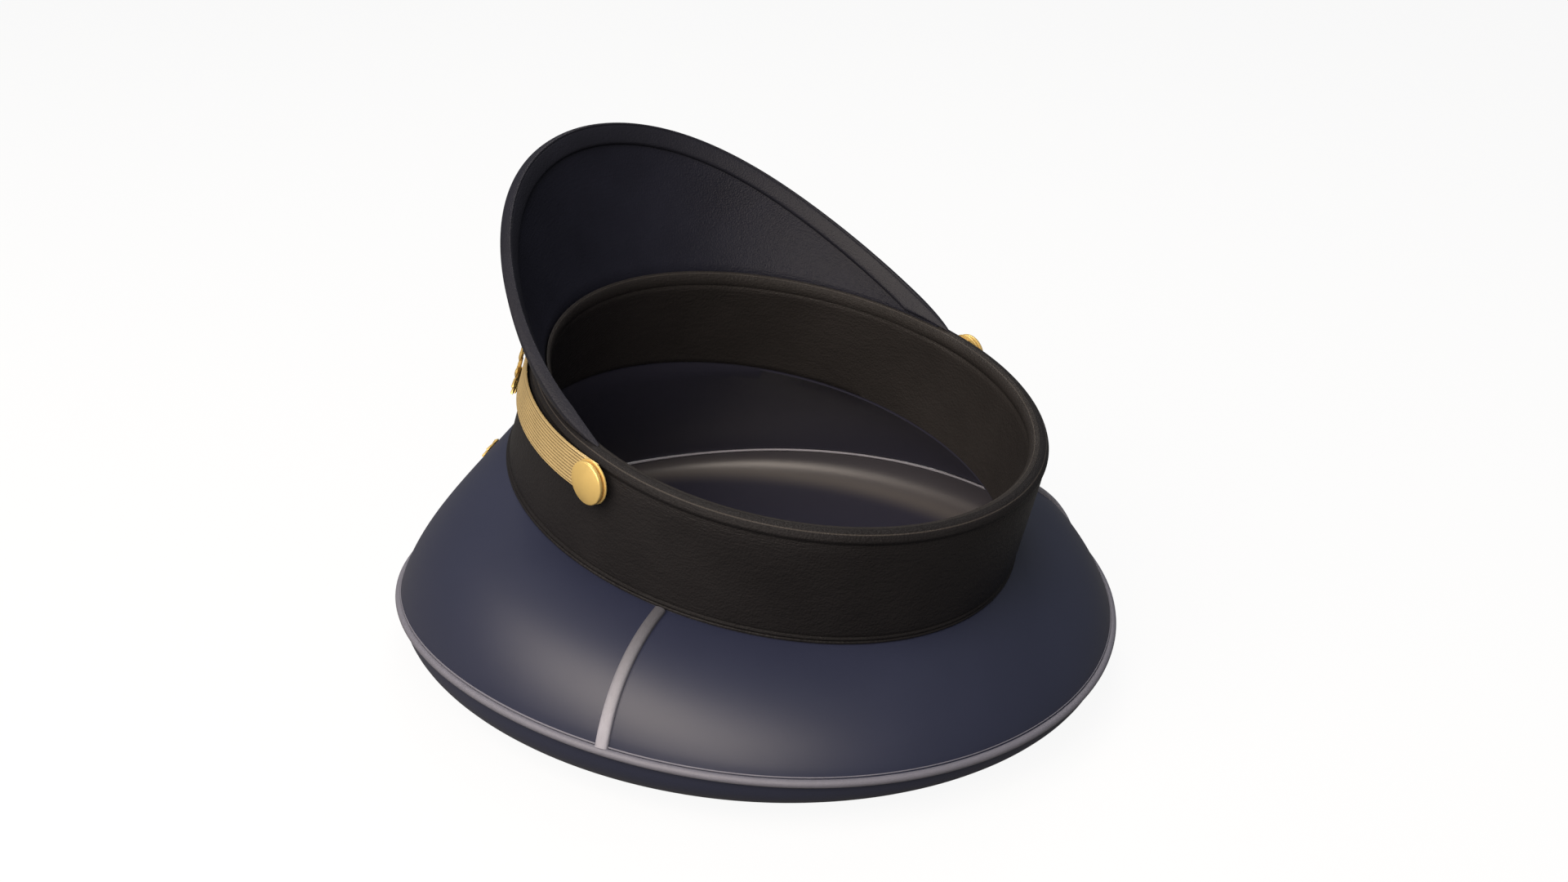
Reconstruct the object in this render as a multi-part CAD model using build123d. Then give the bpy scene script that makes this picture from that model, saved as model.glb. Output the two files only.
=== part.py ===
from build123d import *
import os
from math import asin, cos, degrees, hypot, pi, radians, sin, tan

# Military peaked cap, lying on its crown with the head opening up.
# The visor points towards -Y and the cap is symmetric about X = 0.
# Z = 0 is the surface it lies on, X = Y = 0 the middle of the crown.
# Lengths are in millimetres, angles in degrees. "Turn" is the angle round
# the head: 0 at the front, 90 at the wearer's right (+X), 180 at the back.

# Head opening and band
rim_half_width = 92.0        # to the middle of the rolled rim
rim_half_length = 99.5
rim_squareness = -0.63       # how far the oval leaves an ellipse at its corners
rim_pear = -1.6              # how much rounder the front is than the back
rim_setback = 15.8           # the rim's middle lies this far behind the crown's
rim_tilt = 9.8               # the rim's plane rises towards the front
roll_radius = 3.7            # half the thickness of the rolled rim
band_height = 44.5           # along the band, from hem to rim
band_lean = 4.7              # the hem lies this much further forward
band_side_flare = 0.3        # the hem is this much wider than the rim
band_end_flare = 1.9
hem_squareness = -0.18
hem_pear = 1.0

# Crown
crown_half_width = 141.4     # to the middle of the edge piping
crown_half_length = 144.7
crown_squareness = 0.9
crown_pear = -1.1
crown_saddle = 4.8           # the edge lies this much nearer the band at the sides
crown_dome_depth = 22.8      # from the edge's mean level to the flat it lies on
crown_dome_fullness = 2.85
crown_flat_share = 0.35      # share of the top that is flat
crown_wall_height = 45.0     # from the edge's mean level to the hem's middle
wall_reach = 0.77            # where the wall's curve heads to, as shares of its run
wall_drop = 0.38
wall_drop_front = 0.16
wall_drop_sides = 0.25
seam_turn = 114.2            # the side seams
seam_gap = 0.3

# Thicknesses and the slack between layers
cloth = 1.0
cover_leather = 1.2
sweat_leather = 1.0
stiffener_thickness = 1.1
lining_thickness = 0.35
pad_thickness = 1.2
slack = 0.15

# Piping and welts
piping_radius = 1.5
seam_piping_width = 4.0
seam_piping_height = 1.3
hem_welt_radius = 0.65
lining_welt_radius = 0.55

# Wire ring, stay and spring inside the crown
wire_radius = 0.55
sleeve_wall = 0.25
sleeve_turn = 4.0
sleeve_play = 0.05
stay_turn = 38.0
stay_thickness = 0.6
spring_turn = 3.5
spring_thickness = 0.5

# Visor
visor_length = 63.4
visor_droop = 60.5           # against the rim's plane, at the front
visor_droop_sides = 3.1      # more droop at the sides
visor_taper = 0.91           # how quickly it shortens towards its ends
visor_corner = 0.234
visor_end_turn = 88.3
visor_bulge = 2.0
board_thickness = 1.6
visor_leather = 0.5
flange_depth = 8.0
binding_width = 7.0
binding_thickness = 0.9
binding_clear = 4.5          # its outer flap stops this far above the rim's roll

# Chin strap, its end plates and the side buttons
strap_width = 15.0
strap_thickness = 1.4
strap_stand_off = 0.8
strap_tilt = 6.0
strap_overlap = 5.0          # how far before the pivot its flat end starts
pivot_y = 20.0
pivot_above_edge = 82.0      # above the crown edge's mean level
end_plate_radius = 8.4
end_plate_thickness = 0.8
button_radius = 8.1
button_edge = 1.4
button_crown = 1.4
button_gap = 0.8
post_radius = 1.5
post_play = 0.05
post_head_radius = 2.2
post_head_thickness = 0.8
washer_radius = 2.6
washer_thickness = 0.6

# Ornaments
badge_plate = 1.2
badge_gap = 1.0              # between the strap and the ornament over it
leaf_length = 13.0
leaf_width = 6.4
leaf_spread = 32.0
stem_width = 2.0
wreath_turns = (9, 15, 21, 27, 33)
wreath_rise = 23.0
wreath_climb = 9.0
rosette_radius = 12.0
rosette_rise = 27.0
petals = 12
badge_post_radius = 1.2
badge_post_spread = 6.0
badge_post_rise = 17.0
badge_nut_radius = 2.2
badge_nut_thickness = 0.8
spray_turns = (6, 13, 20, 27, 34)
spray_share = 0.55
spray_swing = 0.3
spray_stand_off = 0.5
spray_boss_radius = 7.0
spray_post_turn = 7.0
spray_washer = 0.35
spray_washer_radius = 2.0

side_steps = 10              # sections lofted along each side of the cap
thin_cord_sides = 10


class Oval:
    """A closed oval round the head, in a plane that may rise towards the front."""

    def __init__(self, half_width, half_length, squareness, pear, centre_y, level,
                 tilt=0.0, saddle=0.0):
        self.half_width = half_width
        self.half_length = half_length
        self.squareness = squareness
        self.pear = pear
        self.centre_y = centre_y
        self.level = level
        self.tilt = tilt
        self.saddle = saddle
        self.axis = Vector(0, sin(radians(tilt)), cos(radians(tilt)))

    def at(self, turn, out=0.0, up=0.0):
        """The point at a turn, moved outwards in the oval's plane and up along its axis."""
        a = radians(turn)
        x = self.half_width * sin(a) + self.squareness * sin(3 * a)
        y = self.centre_y - self.half_length * cos(a) + self.pear * (cos(2 * a) - 1)
        run_x = self.half_width * cos(a) + 3 * self.squareness * cos(3 * a)
        run_y = self.half_length * sin(a) - 2 * self.pear * sin(2 * a)
        size = hypot(run_x, run_y)
        x += out * run_y / size
        y -= out * run_x / size
        z = self.level + tan(radians(self.tilt)) * (self.centre_y - y)
        z -= self.saddle * cos(2 * a)
        return Vector(x, y, z) + self.axis * up


edge_level = crown_dome_depth
hem_level = edge_level + crown_wall_height
rim_level = hem_level + band_height * cos(radians(rim_tilt))
hem_setback = rim_setback - band_height * sin(radians(rim_tilt)) - band_lean

crown = Oval(crown_half_width, crown_half_length, crown_squareness, crown_pear,
             0.0, edge_level, saddle=crown_saddle)
rim = Oval(rim_half_width, rim_half_length, rim_squareness, rim_pear,
           rim_setback, rim_level, rim_tilt)
hem = Oval(rim_half_width + roll_radius + band_side_flare,
           rim_half_length + roll_radius + band_end_flare,
           hem_squareness, hem_pear, hem_setback, hem_level, rim_tilt)

# The layers of the band, outside to inside, as offsets from its outer face
allowance_out = -(cover_leather + slack)
allowance_in = allowance_out - cloth
stiffener_in = allowance_out - stiffener_thickness
lining_hem_out = allowance_in - slack
lining_hem_in = lining_hem_out - lining_thickness
sweat_hem_out = lining_hem_in - slack
sweat_hem_in = sweat_hem_out - sweat_leather
crease_drop = 0.9            # the crease under the rolled rim
allowance_rise = 6.0
lining_hem_rise = 4.0
stiffener_rise = allowance_rise + 0.5
stiffener_top = band_height - 3.7

# The layers of the crown, as depths below its outer face
spring_depth = cloth + slack
stay_depth = spring_depth + spring_thickness + slack
lining_depth = stay_depth + stay_thickness + 0.6


def outline(*runs):
    """A closed wire: each run goes through its points to the next run's first point."""
    edges = []
    for i, run in enumerate(runs):
        points = list(run) + [runs[(i + 1) % len(runs)][0]]
        if len(points) == 2:
            edges.append(Edge.make_line(*points))
        else:
            edges.append(Edge.make_spline(points))
    return Wire(edges)


def around(section, first, last, steps):
    """A solid lofted round the head through sections from one turn to another."""
    turns = [first + (last - first) * i / steps for i in range(steps + 1)]
    return Solid.make_loft([section(turn) for turn in turns])


def both_sides(half):
    """A half that ends on X = 0, joined with its mirror image."""
    return half.fuse(half.mirror(Plane.YZ))


def whole(section):
    """A closed ring."""
    return both_sides(around(section, 0, 180, side_steps))


def bead(oval, radius, out=0.0, up=0.0, sides=0):
    """The section of a cord that follows an oval, round or with flat sides."""
    def section(turn):
        middle = oval.at(turn, out, up)
        outward = (oval.at(turn, out + 1, up) - middle).normalized()
        if sides:
            angles = [2 * pi * i / sides for i in range(sides)]
            return Wire.make_polygon([middle + outward * (radius * cos(a))
                                      + oval.axis * (radius * sin(a)) for a in angles])
        plane = Plane(middle, x_dir=outward, z_dir=outward.cross(oval.axis))
        return Wire.make_circle(radius, plane)
    return section


def wall(turn, rise, out):
    """A point on the band: how far up from the hem, and how far outside its outer face."""
    low = hem.at(turn, out)
    high = rim.at(turn, roll_radius + out, -crease_drop)
    return low + (high - low) * (rise / band_height)


def crown_wall(turn, share, depth):
    """A point on the crown's wall, from the hem (0) to the edge (1), below its outer face."""
    start = hem.at(turn)
    end = crown.at(turn)
    reach = wall_reach
    drop = wall_drop + wall_drop_front * cos(radians(turn))
    drop += wall_drop_sides * cos(radians(2 * turn))
    run = Vector(end.X - start.X, end.Y - start.Y, 0)
    fall = end.Z - start.Z
    across = 2 * share * (1 - share) * reach + share ** 2
    down = 2 * share * (1 - share) * drop + share ** 2
    slope_out = run.length * (2 * (1 - 2 * share) * reach + 2 * share)
    slope_down = fall * (2 * (1 - 2 * share) * drop + 2 * share)
    size = hypot(slope_out, slope_down)
    outward = run.normalized()
    normal = outward * (-slope_down / size) + Vector(0, 0, slope_out / size)
    return start + run * across + Vector(0, 0, fall * down) - normal * depth


def wall_end(turn, depth, clearance):
    """The share of the wall at which a layer stops, just above the edge's level."""
    near = crown_wall(turn, 0.999, 0)
    step = crown_wall(turn, 1, 0) - near
    pace = step.length * 1000
    flat = hypot(step.X, step.Y) / step.length
    steep = -step.Z / step.length
    return 1 - max(clearance, (clearance + depth * flat) / steep) / pace


def crown_frame(turn, share, out):
    """A place outside the crown's wall: its point, the ways towards the hem and outwards."""
    foot = crown_wall(turn, share, 0)
    down = crown_wall(turn, share + 0.01, 0) - foot
    level = crown_wall(turn + 0.5, share, 0) - crown_wall(turn - 0.5, share, 0)
    outward = down.cross(level).normalized()
    return foot + outward * out, down.normalized() * -1, outward


def shares(first, last, count):
    return [first + (last - first) * i / (count - 1) for i in range(count)]


def dome(turn, lean, depth):
    """A point on the crown's top, above its outer face, where that leans this far over.

    It lies flat at a lean of 0 and stands upright at the edge, at 90.
    """
    edge = crown.at(turn, -(0.6 * piping_radius + depth), -(piping_radius - slack / 2))
    power = 2 / crown_dome_fullness
    beyond = sin(radians(lean)) ** power
    share = crown_flat_share + (1 - crown_flat_share) * beyond
    rise = 1 - max(cos(radians(lean)), 0.0) ** power
    return Vector(edge.X * share, edge.Y * share, depth + (edge.Z - depth) * rise)


def dome_layer(depth, thickness):
    """A layer of the crown's top: a bowl round a flat disc."""
    leans = shares(0, 90, 7)

    def section(turn):
        outer = [dome(turn, lean, depth) for lean in leans]
        inner = [dome(turn, lean, depth + thickness) for lean in reversed(leans)]
        return outline(outer[:-1], [outer[-1]], inner[:-1], [inner[-1]])

    bowl = whole(section)
    skin = 0.02
    rim_points = [dome(turn, 4, depth + skin) for turn in range(0, 360, 15)]
    rim_points = [Vector(point.X, point.Y, depth + skin) for point in rim_points]
    disc = Face(Wire(Edge.make_spline(rim_points, periodic=True)))
    return bowl.fuse(Solid.extrude(disc, Vector(0, 0, thickness - 2 * skin)))


# ---- Crown ----

def panel_section(turn):
    end = wall_end(turn, 0, piping_radius + slack)
    outer = [crown_wall(turn, share, 0) for share in shares(0.08, end, 6)]
    inner = [crown_wall(turn, share, cloth) for share in shares(end, 0.08, 6)]
    corner_out = hem.at(turn, allowance_out)
    corner_in = hem.at(turn, allowance_in, -cloth)
    return outline([wall(turn, allowance_rise, allowance_out)], [corner_out],
                   outer[:-1], [outer[-1]], inner[:-1], [inner[-1]],
                   [corner_in], [wall(turn, allowance_rise, allowance_in)])


def seam_slot():
    """A thin upright slab along a side seam."""
    start = hem.at(seam_turn)
    end = crown.at(seam_turn)
    run = Vector(end.X - start.X, end.Y - start.Y, 0)
    upright = Vector(0, 0, 1)
    height = 3 * crown_wall_height
    corner = start - run - upright * (height / 2)
    corner += run.cross(upright).normalized() * (seam_gap / 2)
    plane = Plane(corner, x_dir=run, z_dir=upright)
    return Solid.make_box(3 * run.length, seam_gap, height, plane)


seam_cut = seam_slot()
crown_walls = whole(panel_section).cut(seam_cut, seam_cut.mirror(Plane.YZ)).solids()
crown_front_panel = crown_walls.sort_by(Axis.Y)[0]
crown_rear_panel = crown_walls.sort_by(Axis.Y)[-1]
crown_top_panel = dome_layer(0.0, cloth)
crown_top_pad = dome_layer(cloth + slack, pad_thickness)
crown_top_lining = dome_layer(cloth + pad_thickness + 2 * slack, lining_thickness)
crown_edge_piping = whole(bead(crown, piping_radius))


def seam_piping(turn):
    """Flat-backed piping laid over a side seam."""
    half = seam_piping_width / 2
    profile = [(-half, 0.0), (-0.85 * half, 0.7), (0.0, 1.0), (0.85 * half, 0.7), (half, 0.0)]
    sections = []
    for share in shares(0.05, wall_end(turn, 0, piping_radius + slack), 12):
        foot, up, outward = crown_frame(turn, share, slack / 2)
        side = up.cross(outward)
        points = [foot + side * across + outward * (seam_piping_height * rise)
                  for across, rise in profile]
        sections.append(outline(points[:-1], [points[-1]]))
    return Solid.make_loft(sections)


side_seam_piping_right = seam_piping(seam_turn)
side_seam_piping_left = side_seam_piping_right.mirror(Plane.YZ)

# Spring wire that keeps the edge taut. Its ends meet at the back in a crimped sleeve.
wire_out = -(piping_radius + wire_radius + sleeve_wall + sleeve_play + slack / 2)
crown_wire_ring = whole(bead(crown, wire_radius, wire_out, sides=thin_cord_sides))
sleeve_hole = around(bead(crown, wire_radius + sleeve_play, wire_out),
                     180 - 2 * sleeve_turn, 180 + 2 * sleeve_turn, 8)
wire_ring_sleeve = around(bead(crown, wire_radius + sleeve_play + sleeve_wall, wire_out),
                          180 - sleeve_turn, 180 + sleeve_turn, 6).cut(sleeve_hole)


def layer(depth, thickness, first_share, last_share):
    """The section of a layer inside the crown's wall."""
    def section(turn):
        outer = [crown_wall(turn, share, depth)
                 for share in shares(first_share, last_share, 5)]
        inner = [crown_wall(turn, share, depth + thickness)
                 for share in shares(last_share, first_share, 5)]
        return outline(outer[:-1], [outer[-1]], inner[:-1], [inner[-1]])
    return section


front_stay = around(layer(stay_depth, stay_thickness, 0.1, 0.8), -stay_turn, stay_turn, 12)
stay_spring = around(layer(spring_depth, spring_thickness, 0.1, 0.85),
                     -spring_turn, spring_turn, 4)


def lining_section(turn):
    end = wall_end(turn, lining_depth, 2 * slack)
    outer = [crown_wall(turn, share, lining_depth) for share in shares(0.12, end, 6)]
    inner = [crown_wall(turn, share, lining_depth + lining_thickness)
             for share in shares(end, 0.12, 6)]
    corner_out = hem.at(turn, lining_hem_out, -cloth - slack)
    corner_in = hem.at(turn, lining_hem_in, -cloth - slack)
    return outline([wall(turn, lining_hem_rise, lining_hem_out)], [corner_out],
                   outer[:-1], [outer[-1]], inner[:-1], [inner[-1]],
                   [corner_in], [wall(turn, lining_hem_rise, lining_hem_in)])


crown_wall_lining = whole(lining_section)
welt_out = -(lining_depth + lining_thickness + lining_welt_radius)
lining_welt = whole(bead(crown, lining_welt_radius, welt_out, -lining_welt_radius,
                         thin_cord_sides))


# ---- Band ----

visor_middle = -0.2          # where the visor's flange stands, against the rim's middle
visor_half = board_thickness / 2 + visor_leather + 2 * slack


def roll_split(turn):
    """Half the gap between the two rolls, wide where the visor stands between them."""
    side = abs((turn + 180) % 360 - 180)
    blend = min(1.0, max(0.0, (side - visor_end_turn + 2) / 10))
    blend = blend * blend * (3 - 2 * blend)
    return (visor_half + slack) * (1 - blend) + 0.05 * blend


def quarter(turn, inner_out, outer_out, top, angles):
    """Points over one side of the rolled rim."""
    return [rim.at(turn, inner_out + (outer_out - inner_out) * cos(radians(a)),
                   top * sin(radians(a))) for a in angles]


roll_top = 0.95 * roll_radius
roll_foot = 3.2


def cover_section(turn):
    inside = visor_middle + roll_split(turn)
    if abs(turn) < visor_end_turn:
        inside += 2 * slack
    base = 2 * hem_welt_radius + 2 * slack
    crest = quarter(turn, inside, roll_radius + 0.2, roll_top, (8, 30, 52, 74, 90))
    crease = wall(turn, band_height, -0.35)
    return outline([wall(turn, base, 0)], [crease] + crest[:-1], [crest[-1]],
                   [rim.at(turn, inside, -roll_foot)],
                   [wall(turn, band_height - roll_foot, -cover_leather)],
                   [wall(turn, base, -cover_leather)])


def sweat_section(turn):
    inside = visor_middle - roll_split(turn)
    face = -(roll_radius - slack)
    crest = quarter(turn, inside, -roll_radius, roll_top, (-38, -12, 14, 40, 66, 90))
    crease = rim.at(turn, face, -roll_radius - 0.7)
    back = rim.at(turn, face + sweat_leather, -roll_radius - 1.0)
    return outline([hem.at(turn, sweat_hem_in, slack)], [crease] + crest[:-1], [crest[-1]],
                   [rim.at(turn, inside, -roll_foot)], [back],
                   [hem.at(turn, sweat_hem_out, slack)])


def stiffener_section(turn):
    return outline([wall(turn, stiffener_rise, allowance_out)],
                   [wall(turn, stiffener_top, allowance_out)],
                   [wall(turn, stiffener_top, stiffener_in)],
                   [wall(turn, stiffener_rise, stiffener_in)])


band_cover = whole(cover_section)
sweatband = whole(sweat_section)
band_stiffener = whole(stiffener_section)
band_lower_welt = whole(bead(hem, hem_welt_radius, -hem_welt_radius / 2,
                             hem_welt_radius + slack, thin_cord_sides))


# ---- Visor ----

visor_root_up = 3.4
board_end_turn = 86.0


def visor_run(turn):
    """The visor's root, its direction and its length at a turn."""
    a = radians(90 * turn / visor_end_turn)
    length = visor_length * max(cos(a), 0.0) ** visor_taper
    length *= 1 + visor_corner * (cos(2 * a) - 1)
    droop = radians(visor_droop + visor_droop_sides * (1 - cos(2 * a)) / 2)
    root = rim.at(turn, visor_middle, visor_root_up)
    outward = (rim.at(turn, 1) - rim.at(turn)).normalized()
    along = outward * cos(droop) + rim.axis * sin(droop)
    inward = rim.axis * cos(droop) - outward * sin(droop)
    return root, along, inward, length


def visor(turn, from_edge, lift):
    """A point on the visor, measured back from its edge and up from its middle surface."""
    root, along, inward, length = visor_run(turn)
    share = 1 - from_edge / length
    bulge = visor_bulge * 4 * share * (1 - share) * min(1.0, length / visor_length)
    return root + along * (length * share) + inward * (lift - bulge)


def visor_layer(low, high, edge_inset, flange):
    """The section of a visor layer; a flange runs down between the rolls of the rim."""
    def section(turn):
        length = visor_run(turn)[3]
        stops = shares(edge_inset, length - 0.02 * length, 5)
        top = [visor(turn, stop, high) for stop in reversed(stops)]
        base = [visor(turn, stop, low) for stop in stops]
        if flange == 0:
            return outline(top[:-1], [top[-1]], base[:-1], [base[-1]])
        foot_in = rim.at(turn, visor_middle - high, -flange)
        foot_out = rim.at(turn, visor_middle - low, -flange)
        bend_in = rim.at(turn, visor_middle - high, visor_root_up - 1.2)
        bend_out = rim.at(turn, visor_middle - low, visor_root_up - 1.2)
        return outline([foot_in], [bend_in], top[:-1], [top[-1]], base[:-1], [base[-1]],
                       [bend_out], [foot_out])
    return section


half_board = board_thickness / 2
edge_inset = binding_thickness + slack
visor_board = around(visor_layer(-half_board, half_board, edge_inset, flange_depth),
                     -board_end_turn, board_end_turn, 2 * side_steps)
leather_end_turn = board_end_turn - 1
leather_low = half_board + slack
leather_high = leather_low + visor_leather
visor_lining = around(visor_layer(leather_low, leather_high, edge_inset, 0),
                      -leather_end_turn, leather_end_turn, 2 * side_steps)
visor_cover = around(visor_layer(-leather_high, -leather_low, edge_inset, 0),
                     -leather_end_turn, leather_end_turn, 2 * side_steps)
binding_end_turn = 80.0


def binding_section(turn):
    """Leather folded round the visor's edge, proud of both faces."""
    length = visor_run(turn)[3]
    width = min(binding_width, 0.85 * length)
    width_below = min(binding_width, length - binding_clear)
    inside = leather_high + slack
    outside = inside + binding_thickness
    slot = 0.6 * edge_inset
    upper = [visor(turn, width, inside), visor(turn, 0.88 * width, outside)]
    nose = [visor(turn, 0.18 * width, outside), visor(turn, 0.0, 0.5 * outside),
            visor(turn, 0.0, -0.5 * outside), visor(turn, 0.18 * width_below, -outside)]
    lower = [visor(turn, 0.88 * width_below, -outside), visor(turn, width_below, -inside)]
    slot_points = [visor(turn, slot, -inside), visor(turn, slot, inside)]
    return outline([upper[0]], [upper[1]], nose[:-1], [nose[-1]], [lower[0]], [lower[1]],
                   [slot_points[0]], [slot_points[1]])


visor_binding = around(binding_section, -binding_end_turn, binding_end_turn, 2 * side_steps)


# ---- Side buttons and chin strap ----

pivot_z = edge_level + pivot_above_edge


def turned(length, radius, start):
    """A cylinder along X on the strap's pivot."""
    plane = Plane(Vector(start, pivot_y, pivot_z), x_dir=Vector(0, 1, 0), z_dir=Vector(1, 0, 0))
    return Solid.make_cylinder(radius, length, plane)


def side_of_band(y, z, out):
    """The turn at which the band's right side passes a y and a z, and its x there."""
    low, high = 60.0, 120.0
    for _ in range(40):
        turn = (low + high) / 2
        foot = wall(turn, 0, out)
        top = wall(turn, band_height, out)
        here = foot + (top - foot) * ((z - foot.Z) / (top.Z - foot.Z))
        if here.Y < y:
            low = turn
        else:
            high = turn
    return turn, here.X


band_side = side_of_band(pivot_y, pivot_z, 0)[1]
strap_inner = band_side + strap_stand_off
strap_outer = strap_inner + strap_thickness
plate_inner = strap_outer + slack / 2
plate_outer = plate_inner + end_plate_thickness
button_back = plate_outer + button_gap
washer_outer = band_side + stiffener_in - slack
washer_inner = washer_outer - washer_thickness
head_outer = washer_inner - slack / 2
head_inner = head_outer - post_head_thickness
hole_radius = post_radius + post_play


def band_frame(turn, rise, out):
    """A place on the band: its point, the direction up the band and the one outwards."""
    foot = wall(turn, 0, out)
    up = (wall(turn, band_height, out) - foot).normalized()
    level = (wall(turn + 0.5, rise, out) - wall(turn - 0.5, rise, out)).normalized()
    return foot + up * rise, up, level.cross(up).normalized()


def strap_rise(turn, out):
    """How far up the band the strap's middle runs: it keeps to a plane through the pivot."""
    foot = wall(turn, 0, out)
    top = wall(turn, band_height, out)
    climb = tan(radians(strap_tilt))
    need = pivot_z + climb * (pivot_y - foot.Y) - foot.Z
    gain = (top.Z - foot.Z) + climb * (top.Y - foot.Y)
    return (top - foot).length * need / gain


def strap_section(turn):
    rise = strap_rise(turn, strap_stand_off)
    middle, up, outward = band_frame(turn, rise, strap_stand_off)
    half = strap_width / 2
    round_off = 0.25 * strap_thickness
    profile = [(-half, 0), (-half, strap_thickness - round_off),
               (round_off - half, strap_thickness), (half - round_off, strap_thickness),
               (half, strap_thickness - round_off), (half, 0)]
    return outline(*[[middle + up * a + outward * b] for a, b in profile])


forward = Vector(0, -cos(radians(strap_tilt)), sin(radians(strap_tilt)))
strap_end_turn = side_of_band(pivot_y - strap_overlap, pivot_z, strap_stand_off)[0]
chin_strap = around(strap_section, -strap_end_turn, strap_end_turn, 2 * side_steps)
sideways = Vector(1, 0, 0)
tail_corner = Vector(strap_inner, pivot_y, pivot_z)
tail_corner -= sideways.cross(forward) * (strap_width / 2)
strap_tail = Solid.make_box(strap_overlap + 1.5, strap_width, strap_thickness,
                            Plane(tail_corner, x_dir=forward, z_dir=sideways))
strap_tail = strap_tail.fuse(turned(strap_thickness, strap_width / 2, strap_inner))
chin_strap = chin_strap.fuse(strap_tail, strap_tail.mirror(Plane.YZ))
drill = turned(3 * strap_thickness, hole_radius, strap_inner - strap_thickness)
chin_strap = chin_strap.cut(drill, drill.mirror(Plane.YZ))

strap_end_right = turned(end_plate_thickness, end_plate_radius, plate_inner)
strap_end_right = strap_end_right.cut(turned(3 * end_plate_thickness, hole_radius,
                                             plate_inner - end_plate_thickness))
strap_end_left = strap_end_right.mirror(Plane.YZ)

button_socket = 1.0
button_front = button_back + button_edge + button_crown


def on_pivot(along, out):
    """A point beside the pivot: how far along it and how far out from it."""
    return Vector(along, pivot_y, pivot_z + out)


def lathe(profile):
    """The solid of revolution of a closed profile beside the pivot."""
    axis = Axis(on_pivot(0, 0), sideways)
    return Solid.revolve(Face(profile), 360, axis)


button_bend = 0.4 * button_crown
side_button_right = lathe(Wire([
    Edge.make_line(on_pivot(button_back + button_socket, 0), on_pivot(button_front, 0)),
    Edge.make_spline([on_pivot(button_front, 0),
                      on_pivot(button_front - button_bend, 0.7 * button_radius),
                      on_pivot(button_front - button_crown, button_radius)],
                     tangents=[Vector(0, 0, 1), Vector(-1, 0, 0.4)]),
    Edge.make_line(on_pivot(button_front - button_crown, button_radius),
                   on_pivot(button_back, button_radius)),
    Edge.make_line(on_pivot(button_back, button_radius), on_pivot(button_back, post_radius)),
    Edge.make_line(on_pivot(button_back, post_radius),
                   on_pivot(button_back + button_socket, post_radius)),
    Edge.make_line(on_pivot(button_back + button_socket, post_radius),
                   on_pivot(button_back + button_socket, 0))]))
side_button_left = side_button_right.mirror(Plane.YZ)

button_post_right = turned(button_back + button_socket - head_outer, post_radius, head_outer)
button_post_right = button_post_right.fuse(turned(post_head_thickness, post_head_radius,
                                                  head_inner))
button_post_left = button_post_right.mirror(Plane.YZ)
button_washer_right = turned(washer_thickness, washer_radius, washer_inner)
button_washer_right = button_washer_right.cut(turned(3 * washer_thickness, hole_radius,
                                                     washer_inner - washer_thickness))
button_washer_left = button_washer_right.mirror(Plane.YZ)

band_drill = turned(4 * cover_leather + 4 * stiffener_thickness, hole_radius,
                    band_side - 2 * cover_leather - 2 * stiffener_thickness)
band_cover = band_cover.cut(band_drill, band_drill.mirror(Plane.YZ))
band_stiffener = band_stiffener.cut(band_drill, band_drill.mirror(Plane.YZ))

# ---- Ornaments: a rosette in a wreath on the band, a spray of leaves on the crown ----

def leaf(foot, along, outward, length, width, thickness):
    """A flat pointed leaf."""
    side = outward.cross(along).normalized() * (width / 2)
    tip = foot + along * length
    belly = foot + along * (0.45 * length)
    face = Face(Wire([Edge.make_three_point_arc(foot, belly + side, tip),
                      Edge.make_three_point_arc(tip, belly - side, foot)]))
    return Solid.extrude(face, outward * thickness)


def sprig(frame, turns, thickness, stem_width):
    """Leaves in pairs along a stem; frame gives each turn's point, up and outward."""
    def stem_section(turn):
        middle, up, outward = frame(turn)
        half = up * (stem_width / 2)
        low = middle + outward * (0.25 * thickness)
        high = middle + outward * (0.75 * thickness)
        return outline([low - half], [high - half], [high + half], [low + half])

    stem = around(stem_section, 0, turns[-1] + 1, 8)
    parts = []
    for turn in turns:
        middle, up, outward = frame(turn)
        onward = frame(turn + 1)[0] - middle
        onward = (onward - outward * onward.dot(outward)).normalized()
        across = outward.cross(onward)
        for angle in (-leaf_spread, leaf_spread):
            along = onward * cos(radians(angle)) + across * sin(radians(angle))
            parts.append(leaf(middle, along, outward, leaf_length, leaf_width, thickness))
    parts.append(leaf(middle, onward, outward, 1.4 * leaf_length, leaf_width, thickness))
    return both_sides(stem.fuse(*parts))


band_badge_out = strap_stand_off + strap_thickness + badge_gap


def band_badge_frame(turn):
    """The wreath's stem swings up the band towards its ends."""
    rise = wreath_rise + wreath_climb * sin(radians(90 * turn / wreath_turns[-1]))
    return band_frame(turn, rise, band_badge_out)


def pin(frame_point, outward, radius, length):
    plane = Plane(frame_point, z_dir=outward)
    return Solid.make_cylinder(radius, length, plane)


band_badge_wreath = sprig(band_badge_frame, wreath_turns, badge_plate, stem_width)
boss, boss_up, boss_outward = band_frame(0, rosette_rise, band_badge_out)
band_badge_wreath = band_badge_wreath.fuse(
    pin(boss, boss_outward, rosette_radius + 0.5, badge_plate))
rosette_foot = boss + boss_outward * (badge_plate + slack / 3)
band_badge_rosette = pin(rosette_foot, boss_outward, 0.75 * rosette_radius, badge_plate)
for i in range(petals):
    angle = radians(360 * i / petals)
    side = boss_up * cos(angle) + boss_outward.cross(boss_up) * sin(angle)
    petal = pin(rosette_foot + side * (0.75 * rosette_radius), boss_outward,
                0.25 * rosette_radius, badge_plate)
    band_badge_rosette = band_badge_rosette.fuse(petal)
knob_radius = 0.42 * rosette_radius
knob = Solid.make_sphere(knob_radius, Plane(rosette_foot + boss_outward * badge_plate))
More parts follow.
